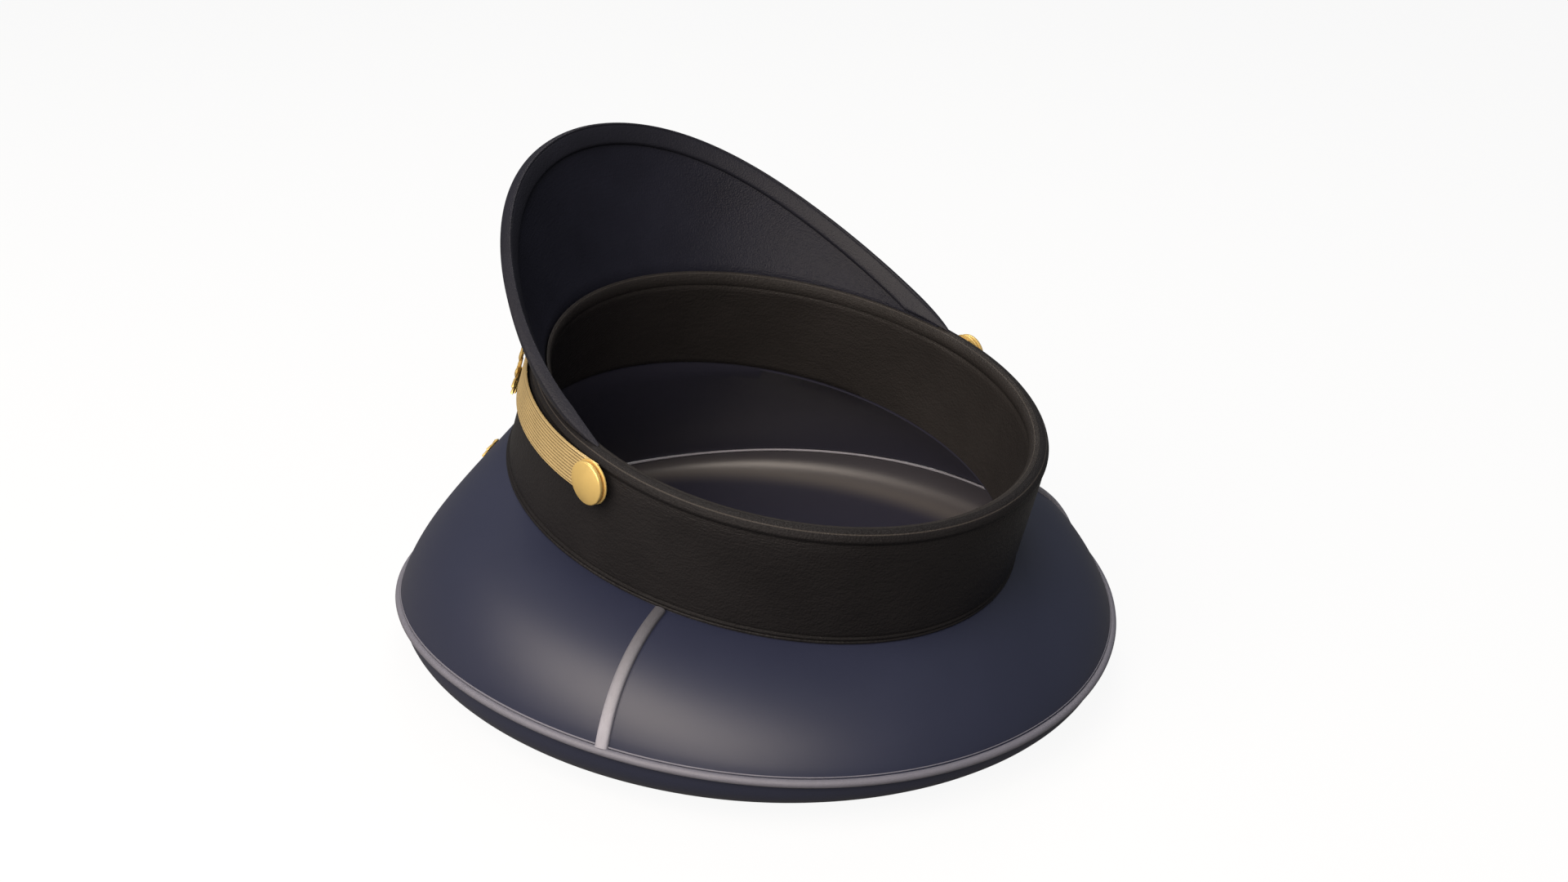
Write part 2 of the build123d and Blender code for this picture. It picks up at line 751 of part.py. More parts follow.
knob = knob.cut(pin(rosette_foot - boss_outward * 2 * knob_radius, boss_outward,
                    2 * knob_radius, 2 * knob_radius))
band_badge_rosette = band_badge_rosette.fuse(knob)


def band_post(turn):
    """A screw post through the band, and its nut inside."""
    foot, _, outward = band_frame(turn, badge_post_rise, 0)
    inner = foot + outward * (stiffener_in - slack / 2 - badge_nut_thickness - 0.3)
    length = (boss - foot).dot(outward) - (inner - foot).dot(outward) - slack / 3
    post = pin(inner, outward, badge_post_radius, length)
    hole = pin(inner, outward, badge_post_radius + post_play, 3 * band_badge_out)
    nut = pin(foot + outward * (stiffener_in - slack / 2 - badge_nut_thickness), outward,
              badge_nut_radius, badge_nut_thickness)
    return post, hole, nut.cut(hole)


post_turn = degrees(asin(badge_post_spread / hem.half_width))
post, post_hole, nut = band_post(post_turn)
band_badge_posts = Compound([post, post.mirror(Plane.YZ)])
band_badge_nuts = Compound([nut, nut.mirror(Plane.YZ)])
band_post_holes = [post_hole, post_hole.mirror(Plane.YZ)]
band_cover = band_cover.cut(*band_post_holes)
band_stiffener = band_stiffener.cut(*band_post_holes)


def crown_badge_frame(turn):
    """The spray's stem swings towards the hem at its ends."""
    swing = sin(radians(90 * turn / spray_turns[-1]))
    share = spray_share - spray_swing * swing
    return crown_frame(turn, share, spray_stand_off)


crown_badge_spray = sprig(crown_badge_frame, spray_turns, badge_plate, stem_width)
spray_boss, _, spray_outward = crown_badge_frame(0)
crown_badge_spray = crown_badge_spray.fuse(
    pin(spray_boss, spray_outward, spray_boss_radius, 2 * badge_plate))


def crown_post(turn):
    """A pin through the front panel and the stay, and the washer that holds it."""
    foot, _, outward = crown_badge_frame(turn)
    length = spray_stand_off + stay_depth + stay_thickness + slack + spray_washer
    inner = foot - outward * length
    post = pin(inner, outward, badge_post_radius, length - slack)
    hole = pin(inner, outward, badge_post_radius + post_play, 2 * length)
    washer = pin(inner, outward, spray_washer_radius, spray_washer)
    return post, hole, washer.cut(hole)


post, post_hole, nut = crown_post(spray_post_turn)
crown_badge_posts = Compound([post, post.mirror(Plane.YZ)])
crown_badge_washers = Compound([nut, nut.mirror(Plane.YZ)])
crown_post_holes = [post_hole, post_hole.mirror(Plane.YZ)]
crown_front_panel = crown_front_panel.cut(*crown_post_holes)
front_stay = front_stay.cut(*crown_post_holes)

nodes = {
    "crown_top_panel": crown_top_panel,
    "crown_front_panel": crown_front_panel,
    "crown_rear_panel": crown_rear_panel,
    "crown_edge_piping": crown_edge_piping,
    "side_seam_piping_left": side_seam_piping_left,
    "side_seam_piping_right": side_seam_piping_right,
    "crown_wire_ring": crown_wire_ring,
    "wire_ring_sleeve": wire_ring_sleeve,
    "crown_top_pad": crown_top_pad,
    "crown_top_lining": crown_top_lining,
    "crown_wall_lining": crown_wall_lining,
    "lining_welt": lining_welt,
    "front_stay": front_stay,
    "stay_spring": stay_spring,
    "band_cover": band_cover,
    "band_lower_welt": band_lower_welt,
    "band_stiffener": band_stiffener,
    "sweatband": sweatband,
    "visor_board": visor_board,
    "visor_cover": visor_cover,
    "visor_lining": visor_lining,
    "visor_binding": visor_binding,
    "chin_strap": chin_strap,
    "strap_end_left": strap_end_left,
    "strap_end_right": strap_end_right,
    "side_button_left": side_button_left,
    "side_button_right": side_button_right,
    "button_post_left": button_post_left,
    "button_post_right": button_post_right,
    "button_washer_left": button_washer_left,
    "button_washer_right": button_washer_right,
    "band_badge_wreath": band_badge_wreath,
    "band_badge_rosette": band_badge_rosette,
    "band_badge_posts": band_badge_posts,
    "band_badge_nuts": band_badge_nuts,
    "crown_badge_spray": crown_badge_spray,
    "crown_badge_posts": crown_badge_posts,
    "crown_badge_washers": crown_badge_washers,
}
for name, shape in nodes.items():
    export_step(shape, f"parts/{name}.step")
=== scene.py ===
from math import cos, exp, hypot, pi, radians, sin, tan

import bpy
from mathutils import Matrix, Vector


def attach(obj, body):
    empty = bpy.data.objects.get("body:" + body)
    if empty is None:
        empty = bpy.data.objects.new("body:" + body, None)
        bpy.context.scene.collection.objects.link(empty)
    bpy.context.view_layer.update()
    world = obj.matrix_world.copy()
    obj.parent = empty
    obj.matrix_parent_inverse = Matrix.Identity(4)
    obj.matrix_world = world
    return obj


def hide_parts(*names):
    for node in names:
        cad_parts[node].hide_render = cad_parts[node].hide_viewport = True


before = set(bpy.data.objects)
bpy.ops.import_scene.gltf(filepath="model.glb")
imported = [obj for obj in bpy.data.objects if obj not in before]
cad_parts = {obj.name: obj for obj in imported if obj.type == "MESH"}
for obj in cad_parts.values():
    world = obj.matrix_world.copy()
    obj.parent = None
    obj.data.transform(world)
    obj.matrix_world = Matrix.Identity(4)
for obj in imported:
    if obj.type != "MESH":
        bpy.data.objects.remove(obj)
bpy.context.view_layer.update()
mm = 0.001


# ---- The view ----
# The cap lies on its crown with the head opening up. The eye is behind the wearer's
# right shoulder, a little above the visor's foot.
view_turn = radians(135.658)
view_rise = radians(23.228)
view_roll = radians(1.705)
view_distance = 0.753617
view_target = Vector((0.004498, 0.019611, 0.094006))

back = Vector((sin(view_turn) * cos(view_rise), -cos(view_turn) * cos(view_rise), sin(view_rise)))
level_right = Vector((cos(view_turn), sin(view_turn), 0))
level_up = back.cross(level_right)
right = level_right * cos(view_roll) + level_up * sin(view_roll)
up = level_up * cos(view_roll) - level_right * sin(view_roll)
bpy.ops.object.camera_add()
camera = bpy.context.object
camera.name = "camera"
camera.matrix_world = Matrix.Translation(view_target + back * view_distance) @ Matrix(
    (right, up, back)).transposed().to_4x4()
camera.data.sensor_width = 36
camera.data.lens = 44.993
bpy.context.scene.camera = camera
bpy.context.scene.view_settings.view_transform = "Standard"


# ---- Studio ----
# A plain pale floor under a white surround, a warm softbox to the wearer's right and
# weak plain light from all round.
mirrored_white = 0.06


def put(tree, kind, values=None, **settings):
    """A new node with its settings, and with its input sockets set or linked."""
    node = tree.nodes.new(kind)
    for name, value in settings.items():
        setattr(node, name, value)
    for name, value in (values or {}).items():
        if isinstance(value, bpy.types.NodeSocket):
            tree.links.new(value, node.inputs[name])
        else:
            node.inputs[name].default_value = value
    return node


def calc(tree, operation, *values):
    """The output of a maths node."""
    return put(tree, "ShaderNodeMath", dict(enumerate(values)), operation=operation).outputs[0]


def noise(tree, spot, scale, detail, **values):
    """The output of a noise texture."""
    return put(tree, "ShaderNodeTexNoise", {"Vector": spot, "Scale": scale, "Detail": detail,
                                            **values}).outputs["Fac"]


def coordinate(tree, kind, axis):
    """One axis of a texture coordinate."""
    spot = put(tree, "ShaderNodeTexCoord").outputs[kind]
    return put(tree, "ShaderNodeSeparateXYZ", {0: spot}).outputs[axis]


def seen_directly(tree):
    """1 for rays of the eye and see-through rays, less for mirror rays, 0 for light's own."""
    path = put(tree, "ShaderNodeLightPath")
    mirrored = calc(tree, "MULTIPLY", path.outputs["Is Glossy Ray"], mirrored_white)
    either = calc(tree, "MAXIMUM", path.outputs["Is Camera Ray"], mirrored)
    return calc(tree, "MAXIMUM", either, path.outputs["Is Transmission Ray"])


surround_glow = 0.14
world = bpy.data.worlds.new("surround")
bpy.context.scene.world = world
world.use_nodes = True
sky = world.node_tree
sky.nodes.clear()
white = put(sky, "ShaderNodeBackground", {"Color": (1, 1, 1, 1), "Strength": 1})
glow = put(sky, "ShaderNodeBackground", {"Color": (0.86, 0.92, 1, 1), "Strength": surround_glow})
both = put(sky, "ShaderNodeMixShader", {0: seen_directly(sky), 1: glow.outputs[0],
                                        2: white.outputs[0]})
put(sky, "ShaderNodeOutputWorld", {"Surface": both.outputs[0]})

floor_drop, floor_plain_share = 0.0002, 0.92
bpy.ops.mesh.primitive_plane_add(size=12, location=(0, 0, -floor_drop))
floor = bpy.context.object
floor.name = "floor"
floor_paint = bpy.data.materials.new("floor_paint")
floor_paint.use_nodes = True
ground = floor_paint.node_tree
ground.nodes.clear()
seen = seen_directly(ground)
paleness = put(ground, "ShaderNodeMix", {0: seen, 6: (0.12, 0.12, 0.12, 1), 7: (0.8, 0.8, 0.8, 1)},
               data_type="RGBA")
lit = put(ground, "ShaderNodeBsdfDiffuse", {"Color": paleness.outputs[2]})
plain = put(ground, "ShaderNodeEmission", {"Color": (1, 1, 1, 1), "Strength": 1.0})
both = put(ground, "ShaderNodeMixShader", {0: calc(ground, "MULTIPLY", seen, floor_plain_share),
                                           1: lit.outputs[0], 2: plain.outputs[0]})
put(ground, "ShaderNodeOutputMaterial", {"Surface": both.outputs[0]})
floor.data.materials.append(floor_paint)


def softbox(name, turn, rise, distance, width, height, power, colour):
    """A soft lamp at a turn and a rise from the cap, aimed at it."""
    out = Vector((sin(radians(turn)) * cos(radians(rise)),
                  -cos(radians(turn)) * cos(radians(rise)), sin(radians(rise))))
    bpy.ops.object.light_add(type="AREA", location=view_target + out * distance)
    lamp = bpy.context.object
    lamp.name = name
    lamp.rotation_euler = out.to_track_quat("Z", "Y").to_euler()
    lamp.data.shape = "RECTANGLE"
    lamp.data.size = width
    lamp.data.size_y = height
    lamp.data.energy = power
    lamp.data.color = colour
    return lamp


softbox("key_lamp", 104, 38, 1.3, 1.9, 1.0, 34, (1.0, 0.88, 0.76))
softbox("far_lamp", 318, 58, 1.4, 0.5, 0.5, 6, (1.0, 0.93, 0.86))
fill = softbox("fill_lamp", 135, 72, 1.4, 0.5, 0.5, 3, (0.95, 0.97, 1.0))
fill.visible_glossy = False


# ---- Crown walls ----
# Two panels of navy barathea, front and rear, cut as curved strips and stitched at the
# side seams. They flare from the band's hem to the piped edge and are drawn taut.
rim_half_width, rim_half_length = 92.0, 99.5
rim_squareness, rim_pear = -0.63, -1.6
rim_setback, rim_tilt = 15.8, 9.8
roll_radius = 3.7
band_height, band_lean = 44.5, 4.7
band_side_flare, band_end_flare = 0.3, 1.9
crown_half_width, crown_half_length = 141.4, 144.7
crown_depth, crown_saddle = 22.8, 4.8
wall_height = 45.0
wall_reach, wall_drop, wall_drop_front, wall_drop_sides = 0.77, 0.38, 0.16, 0.25
seam_turn, seam_half_gap = 114.2, 0.06
cloth, cover_leather = 1.0, 1.2
slack = 0.15
piping_radius = 1.5
allowance_out = -(cover_leather + slack)
allowance_rise = 6.0
navy = (0.018, 0.0215, 0.045)


class Oval:
    """A closed oval round the head, in a plane that may rise towards the front."""

    def __init__(self, half_width, half_length, squareness, pear, centre_y, level,
                 tilt=0.0, saddle=0.0):
        self.half_width = half_width
        self.half_length = half_length
        self.squareness = squareness
        self.pear = pear
        self.centre_y = centre_y
        self.level = level
        self.tilt = radians(tilt)
        self.saddle = saddle
        self.axis = Vector((0, sin(self.tilt), cos(self.tilt)))

    def at(self, turn, out=0.0, up=0.0):
        """The point at a turn, moved outwards in the oval's plane and up along its axis."""
        a = radians(turn)
        x = self.half_width * sin(a) + self.squareness * sin(3 * a)
        y = self.centre_y - self.half_length * cos(a) + self.pear * (cos(2 * a) - 1)
        run_x = self.half_width * cos(a) + 3 * self.squareness * cos(3 * a)
        run_y = self.half_length * sin(a) - 2 * self.pear * sin(2 * a)
        size = hypot(run_x, run_y)
        x += out * run_y / size
        y -= out * run_x / size
        z = self.level + tan(self.tilt) * (self.centre_y - y) - self.saddle * cos(2 * a)
        return Vector((x, y, z)) + self.axis * up


hem_level = crown_depth + wall_height
crown = Oval(crown_half_width, crown_half_length, 0.9, -1.1, 0, crown_depth, saddle=crown_saddle)
rim = Oval(rim_half_width, rim_half_length, rim_squareness, rim_pear, rim_setback,
           hem_level + band_height * cos(radians(rim_tilt)), rim_tilt)
hem = Oval(rim_half_width + roll_radius + band_side_flare,
           rim_half_length + roll_radius + band_end_flare, -0.18, 1.0,
           rim_setback - band_height * sin(radians(rim_tilt)) - band_lean, hem_level, rim_tilt)


def wall(turn, rise, out):
    """A point on the band: how far up from its hem, and how far outside its outer face."""
    low = hem.at(turn, out)
    high = rim.at(turn, roll_radius + out, -0.9)
    return low + (high - low) * (rise / band_height)


def crown_wall(turn, share, depth):
    """A point on the crown's wall, from the hem (0) to the edge (1), below its outer face."""
    start = hem.at(turn)
    run = crown.at(turn) - start
    fall = run.z
    run.z = 0
    drop = wall_drop + wall_drop_front * cos(radians(turn)) + wall_drop_sides * cos(radians(2 * turn))
    across = 2 * share * (1 - share) * wall_reach + share ** 2
    down = 2 * share * (1 - share) * drop + share ** 2
    slope_out = run.length * (2 * (1 - 2 * share) * wall_reach + 2 * share)
    slope_down = fall * (2 * (1 - 2 * share) * drop + 2 * share)
    size = hypot(slope_out, slope_down)
    normal = run.normalized() * (-slope_down / size) + Vector((0, 0, slope_out / size))
    return start + run * across + Vector((0, 0, fall * down)) - normal * depth


def wall_end(turn, depth, clearance):
    """The share of the wall at which a layer stops, just above the edge's level."""
    step = crown_wall(turn, 1, 0) - crown_wall(turn, 0.999, 0)
    flat = hypot(step.x, step.y) / step.length
    steep = -step.z / step.length
    return 1 - max(clearance, (clearance + depth * flat) / steep) / (step.length * 1000)


def spread(first, last, count):
    """Evenly spaced values from the first to the last."""
    return [first + (last - first) * i / (count - 1) for i in range(count)]


def pick(*pieces):
    """Selects these pieces alone, the first one active."""
    bpy.ops.object.select_all(action="DESELECT")
    for piece in pieces:
        piece.select_set(True)
    bpy.context.view_layer.objects.active = pieces[0]


def tidy(piece, merge=0.000001, caps=False):
    """Merges the doubles of a finished mesh, closes its ends and turns its faces outwards."""
    pick(piece)
    bpy.ops.object.mode_set(mode="EDIT")
    bpy.ops.mesh.select_all(action="SELECT")
    bpy.ops.mesh.remove_doubles(threshold=merge)
    if caps:
        bpy.ops.mesh.fill_holes(sides=0)
    bpy.ops.mesh.select_all(action="SELECT")
    bpy.ops.mesh.normals_make_consistent(inside=False)
    bpy.ops.object.mode_set(mode="OBJECT")


def wrap(name, turns, rows, place, flat=(1, 1), caps=False):
    """A flat strip of cells wrapped onto the cap: place gives the point for a turn and a row.

    flat is the strip's length and width in metres, kept as the size of its UV map.
    """
    bpy.ops.object.select_all(action="DESELECT")
    bpy.ops.mesh.primitive_grid_add(x_subdivisions=len(turns) - 1, y_subdivisions=len(rows) - 1,
                                    size=2)
    piece = bpy.context.object
    piece.name = piece.data.name = name
    for corner in piece.data.vertices:
        i = round((corner.co.x + 1) / 2 * (len(turns) - 1))
        j = round((corner.co.y + 1) / 2 * (len(rows) - 1))
        corner.co = place(turns[i], rows[j]) * mm
    for spot in piece.data.uv_layers[0].data:
        spot.uv = (spot.uv[0] * flat[0], spot.uv[1] * flat[1])
    tidy(piece, caps=caps)
    return piece


def apply(piece, kind, **settings):
    """Adds a modifier, sets it and applies it."""
    pick(piece)
    modifier = piece.modifiers.new(kind.lower(), kind)
    for name, value in settings.items():
        setattr(modifier, name, value)
    bpy.ops.object.modifier_apply(modifier=modifier.name)


def finish_piece(piece, paint, body, slot, *nodes, angle=40):
    """Smooths a piece, gives it its material and puts it in the place of its CAD nodes."""
    pick(piece)
    bpy.ops.object.shade_smooth_by_angle(angle=radians(angle))
    piece.data.materials.clear()
    piece.data.materials.append(paint)
    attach(piece, body)
    if nodes:
        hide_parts(*nodes)


def start_paint(name, colour, roughness, **plain):
    """A new material with its plain values set. Gives the material, its tree and shader."""
    paint = bpy.data.materials.new(name)
    paint.use_nodes = True
    shader = paint.node_tree.nodes["Principled BSDF"]
    shader.inputs["Base Color"].default_value = (*colour, 1)
    shader.inputs["Roughness"].default_value = roughness
    for socket, value in plain.items():
        shader.inputs[socket.replace("_", " ")].default_value = value
    return paint, paint.node_tree, shader


def new_group(name, numbers, outputs):
    """A shader node group with numbers in and the named values out."""
    group = bpy.data.node_groups.new(name, "ShaderNodeTree")
    for label, value in numbers.items():
        socket = group.interface.new_socket(name=label, in_out="INPUT", socket_type="NodeSocketFloat")
        socket.default_value = value
    for label in outputs:
        group.interface.new_socket(name=label, in_out="OUTPUT", socket_type="NodeSocketFloat")
    return group, put(group, "NodeGroupInput"), put(group, "NodeGroupOutput")


def place_group(tree, group, **values):
    """The group as a node of a material, with its own values."""
    node = put(tree, "ShaderNodeGroup", node_tree=group)
    for label, value in values.items():
        node.inputs[label.replace("_", " ")].default_value = value
    return node


def vary(tree, shader, group_node, colour, dark, light, roughness, swing, depth, strength):
    """Colour, roughness and relief that follow a group's Tone and Height."""
    shades = put(tree, "ShaderNodeMix", {0: group_node.outputs["Tone"],
                                         6: tuple(c * dark for c in colour) + (1,),
                                         7: tuple(c * light for c in colour) + (1,)},
                 data_type="RGBA")
    tree.links.new(shades.outputs[2], shader.inputs["Base Color"])
    gloss = put(tree, "ShaderNodeMapRange", {"Value": group_node.outputs["Tone"],
                                             "To Min": roughness - swing,
                                             "To Max": roughness + swing})
    tree.links.new(gloss.outputs[0], shader.inputs["Roughness"])
    relief = put(tree, "ShaderNodeBump", {"Height": group_node.outputs["Height"],
                                          "Distance": depth, "Strength": strength})
    tree.links.new(relief.outputs[0], shader.inputs["Normal"])


def tint(tree, shader, mask, colour):
    """Another colour where the mask is 1, over the colour that the shader has."""
    under = shader.inputs["Base Color"].links[0].from_socket
    mixed = put(tree, "ShaderNodeMix", {0: mask, 6: under, 7: (*colour, 1)}, data_type="RGBA")
    tree.links.new(mixed.outputs[2], shader.inputs["Base Color"])


# Twill ribs on the cloth's own UV map, with wool fuzz and soft uneven dye over it.
weave, ins, outs = new_group("ClothWeave", {"Ribs": 1300.0, "Fuzz": 2600.0, "Patches": 22.0},
                             ("Height", "Tone"))
spot = put(weave, "ShaderNodeTexCoord")
slanted = put(weave, "ShaderNodeMapping", {"Vector": spot.outputs["UV"],
                                           "Rotation": (0, 0, radians(28))})
ribs = put(weave, "ShaderNodeTexWave", {"Vector": slanted.outputs[0], "Scale": ins.outputs["Ribs"],
                                        "Distortion": 0.6, "Detail": 1.0})
fuzz = noise(weave, spot.outputs["Object"], ins.outputs["Fuzz"], 2.0)
patches = noise(weave, spot.outputs["Object"], ins.outputs["Patches"], 3.0)
half = calc(weave, "MULTIPLY", calc(weave, "ADD", ribs.outputs["Fac"], fuzz), 0.5)
tone = calc(weave, "MULTIPLY_ADD", patches, 0.65, calc(weave, "MULTIPLY", half, 0.35))
weave.links.new(half, outs.inputs["Height"])
weave.links.new(tone, outs.inputs["Tone"])

cloth_paint, tree, shader = start_paint("navy_cloth", navy, 0.44, Specular_IOR_Level=0.5)
vary(tree, shader, place_group(tree, weave), navy, 0.85, 1.2, 0.44, 0.04, 0.00006, 0.35)

wall_run = 60.0
dent_by_seam, dent_by_edge = 0.4, 0.25


def cloth_wall(turn, row):
    """The outer face of the wall; rows under 0 are the allowance inside the band."""
    if row < 0:
        return wall(turn, -row * allowance_rise, allowance_out)
    end = wall_end(turn, 0, 0.7 * piping_radius)
    share = end * row
    to_seam = (abs((turn + 180) % 360 - 180) - seam_turn) * 2.2
    drawn = dent_by_seam * exp(-(to_seam / 5.0) ** 2)
    drawn += dent_by_edge * exp(-((1 - row) * wall_run / 2.5) ** 2)
    return crown_wall(turn, share, drawn)


wall_rows = [-1.0, -0.5, 0.0, 0.005] + spread(0.03, 1, 36)
panels = {"crown_front_cloth": ("crown_front_panel", -seam_turn + seam_half_gap,
                                seam_turn - seam_half_gap, 240, (0.191, 0.441), 0.041),
          "crown_rear_cloth": ("crown_rear_panel", seam_turn + seam_half_gap,
                               360 - seam_turn - seam_half_gap, 140, (0.115, 0.275), 0.0169)}
for name, (node, first, last, steps, cut, cut_area) in panels.items():
    run = crown_half_width * radians(last - first) * mm
    piece = wrap(name, spread(first, last, steps), wall_rows, cloth_wall, (run, wall_run * mm))
    apply(piece, "SOLIDIFY", thickness=cloth * mm, offset=-1)
    finish_piece(piece, cloth_paint, "cap", "navy_cloth", node)


# ---- Crown top ----
# One disc of the same cloth, steamed to a shallow dome, that closes the crown. The cap
# lies on its flat middle.
dome_fullness, flat_share = 2.85, 0.35


def dome(turn, lean, depth):
    """A point on the crown's top where its face leans this far over, from 0 to 90."""
    edge = crown.at(turn, -(0.6 * piping_radius + depth), -(piping_radius - slack / 2))
    power = 2 / dome_fullness
    share = flat_share + (1 - flat_share) * sin(radians(lean)) ** power
    rise = 1 - max(cos(radians(lean)), 0.0) ** power
    return Vector((edge.x * share, edge.y * share, depth + (edge.z - depth) * rise))


def disc(turn, row, depth):
    """The whole top from its middle (row 0), over the flat (row 1), to the edge (row 10)."""
    if row <= 1:
        point = dome(turn, 0, depth)
        return Vector((point.x * row, point.y * row, depth))
    return dome(turn, 10 * (row - 1), depth)


round_turns = spread(0, 360, 241)
dome_rows = [0, 0.3, 0.6, 0.85, 1, 1.15] + spread(1.4, 9.6, 30) + [9.8, 10]


def top_cloth(turn, row):
    return disc(turn, row, 0)


piece = wrap("crown_top_cloth", round_turns, dome_rows, top_cloth, (0.9, 0.15))
apply(piece, "SOLIDIFY", thickness=cloth * mm, offset=-1)
finish_piece(piece, cloth_paint, "cap", "navy_cloth", "crown_top_panel")


# ---- Piping ----
# Felt-covered cord round the crown's edge, with the narrow fold of its flange showing
# above it, and flat felt piping sewn over both side seams.
# The side-seam felt is the edge cord's felt painted about twice as light, as a painted highlight on
# the seam piping.
edge_felt_grey, seam_felt_highlit_grey = (0.156, 0.157, 0.195), (0.32, 0.320, 0.373)
fold_gap, fold_radius = 0.25, 0.24
seam_width, seam_height = 4.5, 1.3
# The heights between which the seam felt's painted shade fades, and how dark it is at the band.
shade_from, shade_to, shade_share = 34.0, 62.0, 0.22

felt, ins, outs = new_group("FeltFibres", {"Fibres": 1500.0, "Clumps": 260.0}, ("Height", "Tone"))
spot = put(felt, "ShaderNodeTexCoord")
fibres = noise(felt, spot.outputs["Object"], ins.outputs["Fibres"], 4.0, Distortion=1.2)
clumps = noise(felt, spot.outputs["Object"], ins.outputs["Clumps"], 2.0)
piled = calc(felt, "MULTIPLY_ADD", clumps, 0.6, fibres)
felt.links.new(piled, outs.inputs["Height"])
felt.links.new(calc(felt, "MULTIPLY", piled, 0.625), outs.inputs["Tone"])


def felt_of(name, colour):
    paint, tree, shader = start_paint(name, colour, 0.5, Specular_IOR_Level=0.5)
    vary(tree, shader, place_group(tree, felt, Fibres=2400.0, Clumps=500.0),
         colour, 0.75, 1.25, 0.5, 0.06, 0.0003, 0.5)
    return paint


edge_felt = felt_of("edge_felt", edge_felt_grey)
highlit_seam_felt = felt_of("highlit_seam_felt", seam_felt_highlit_grey)
# Painted shade: the seam felt is darker next to the band and full colour towards the crown's edge.
tree = highlit_seam_felt.node_tree
shader = tree.nodes["Principled BSDF"]
unshaded_felt = shader.inputs["Base Color"].links[0].from_socket
level = coordinate(tree, "Object", "Z")
shade_by_height = put(tree, "ShaderNodeMapRange", {"Value": level, "From Min": shade_from * mm,
                                           "From Max": shade_to * mm, "To Min": 1.0,
                                           "To Max": shade_share})
shaded_felt = put(tree, "ShaderNodeVectorMath", {0: unshaded_felt, "Scale": shade_by_height.outputs[0]},
             operation="SCALE")
tree.links.new(shaded_felt.outputs[0], shader.inputs["Base Color"])


def cord_outline(oval, radius, out, up, sides=16):
    """The closed outline of a cord along an oval, for each turn and step round it."""
    def place(turn, step):
        a = 2 * pi * step / sides
        return oval.at(turn, out + radius * cos(a), up + radius * sin(a))
    return place, list(range(sides + 1))


def felt_cord(name, node, paint, oval, radius, out, up):
    place, steps = cord_outline(oval, radius, out, up)
    piece = wrap(name, round_turns, steps, place, (0.9, 2 * pi * radius * mm))
    finish_piece(piece, paint, "cap", "felt_piping", node)


felt_cord("edge_cord", "crown_edge_piping", edge_felt, crown, piping_radius, 0, 0)


def fold_at(turn, step):
    """The flange's fold: a fine ridge on the wall, a little above the cord."""
    a = pi * step / 6
    end = wall_end(turn, 0, piping_radius + slack + fold_gap)
    beside = fold_radius * 1.3 * cos(a) / wall_run
    return crown_wall(turn, end - beside, 0.12 - fold_radius * sin(a))


past_seam = 1.05
for name, first, last, steps in (("piping_fold_front", -seam_turn + past_seam,
                                  seam_turn - past_seam, 241),
                                 ("piping_fold_rear", seam_turn + past_seam,
                                  360 - seam_turn - past_seam, 141)):
    piece = wrap(name, spread(first, last, steps), list(range(7)), fold_at, (0.6, 0.001))
    finish_piece(piece, edge_felt, "cap", "felt_piping")


def crown_frame(turn, share, out):
    """A place outside the crown's wall: its point, the ways towards the hem and outwards."""
    foot = crown_wall(turn, share, 0)
    down = crown_wall(turn, share + 0.01, 0) - foot
    level = crown_wall(turn + 0.5, share, 0) - crown_wall(turn - 0.5, share, 0)
    outward = down.cross(level).normalized()
    return foot + outward * out, down.normalized() * -1, outward


seam_profile = [(-1.0, -0.35), (-1.0, 0.1), (-0.94, 0.45), (-0.8, 0.72), (-0.5, 0.92), (0, 1.0),
                (0.5, 0.92), (0.8, 0.72), (0.94, 0.45), (1.0, 0.1), (1.0, -0.35)]
for side, name in ((1, "right"), (-1, "left")):
    def seam_at(share, step):
        across, height = seam_profile[step]
        foot, towards_hem, outward = crown_frame(seam_turn, share, slack / 2)
        beside = towards_hem.cross(outward)
        widen = 0.96 + 0.1 * share
        point = foot + beside * (across * widen * seam_width / 2) + outward * (seam_height * height)
        return Vector((side * point.x, point.y, point.z))

    stations = spread(0.016, wall_end(seam_turn, 0, piping_radius - 0.3), 60)
    piece = wrap(f"seam_piping_{name}", stations, list(range(len(seam_profile))), seam_at,
                 (wall_run * mm, 0.006), caps=True)
    finish_piece(piece, highlit_seam_felt, "cap", "felt_piping", f"side_seam_piping_{name}")


# ---- Linings ----
# Navy satin inside the crown: a wall lining that hangs from the band and a disc under the
# top, joined by a thin pale welt.
spring_depth = cloth + slack
stay_depth = spring_depth + 0.5 + slack
lining_depth = stay_depth + 0.6 + 0.6
lining_thickness, pad_thickness = 0.35, 1.2
welt_radius = 0.55
welt_felt_grey = (0.39, 0.390, 0.455)
lining_tuck = 1.2
satin_navy = (0.034, 0.034, 0.054)
satin_paint, tree, shader = start_paint("satin_lining", satin_navy, 0.34, Specular_IOR_Level=0.6)
vary(tree, shader, place_group(tree, weave, Ribs=2600.0, Fuzz=5000.0, Patches=14.0),
     satin_navy, 0.9, 1.12, 0.34, 0.03, 0.00003, 0.25)


def lining_wall(turn, row):
    if row < 0:
        rise = -cloth - slack if row == -1 else lining_tuck
        return hem.at(turn, -(cover_leather + cloth + 3 * slack), rise)
    end = wall_end(turn, lining_depth, 2 * slack)
    return crown_wall(turn, 0.12 + (end - 0.12) * row, lining_depth)


piece = wrap("wall_lining", round_turns, [-2, -1] + spread(0, 1, 40), lining_wall, (0.86, 0.06))
apply(piece, "SOLIDIFY", thickness=lining_thickness * mm, offset=-1)
finish_piece(piece, satin_paint, "cap", "satin_lining", "crown_wall_lining")

top_lining_depth = cloth + pad_thickness + 2 * slack
# Painted highlight: a lighter warm grey ring is painted on the top lining where it curves up to the
# edge, between these heights.
sheen_ring_low, sheen_ring_high = 8.6, 20.0
sheen_ring_colour = (0.104, 0.097, 0.099)


def top_lining(turn, row):
    return disc(turn, row, top_lining_depth)
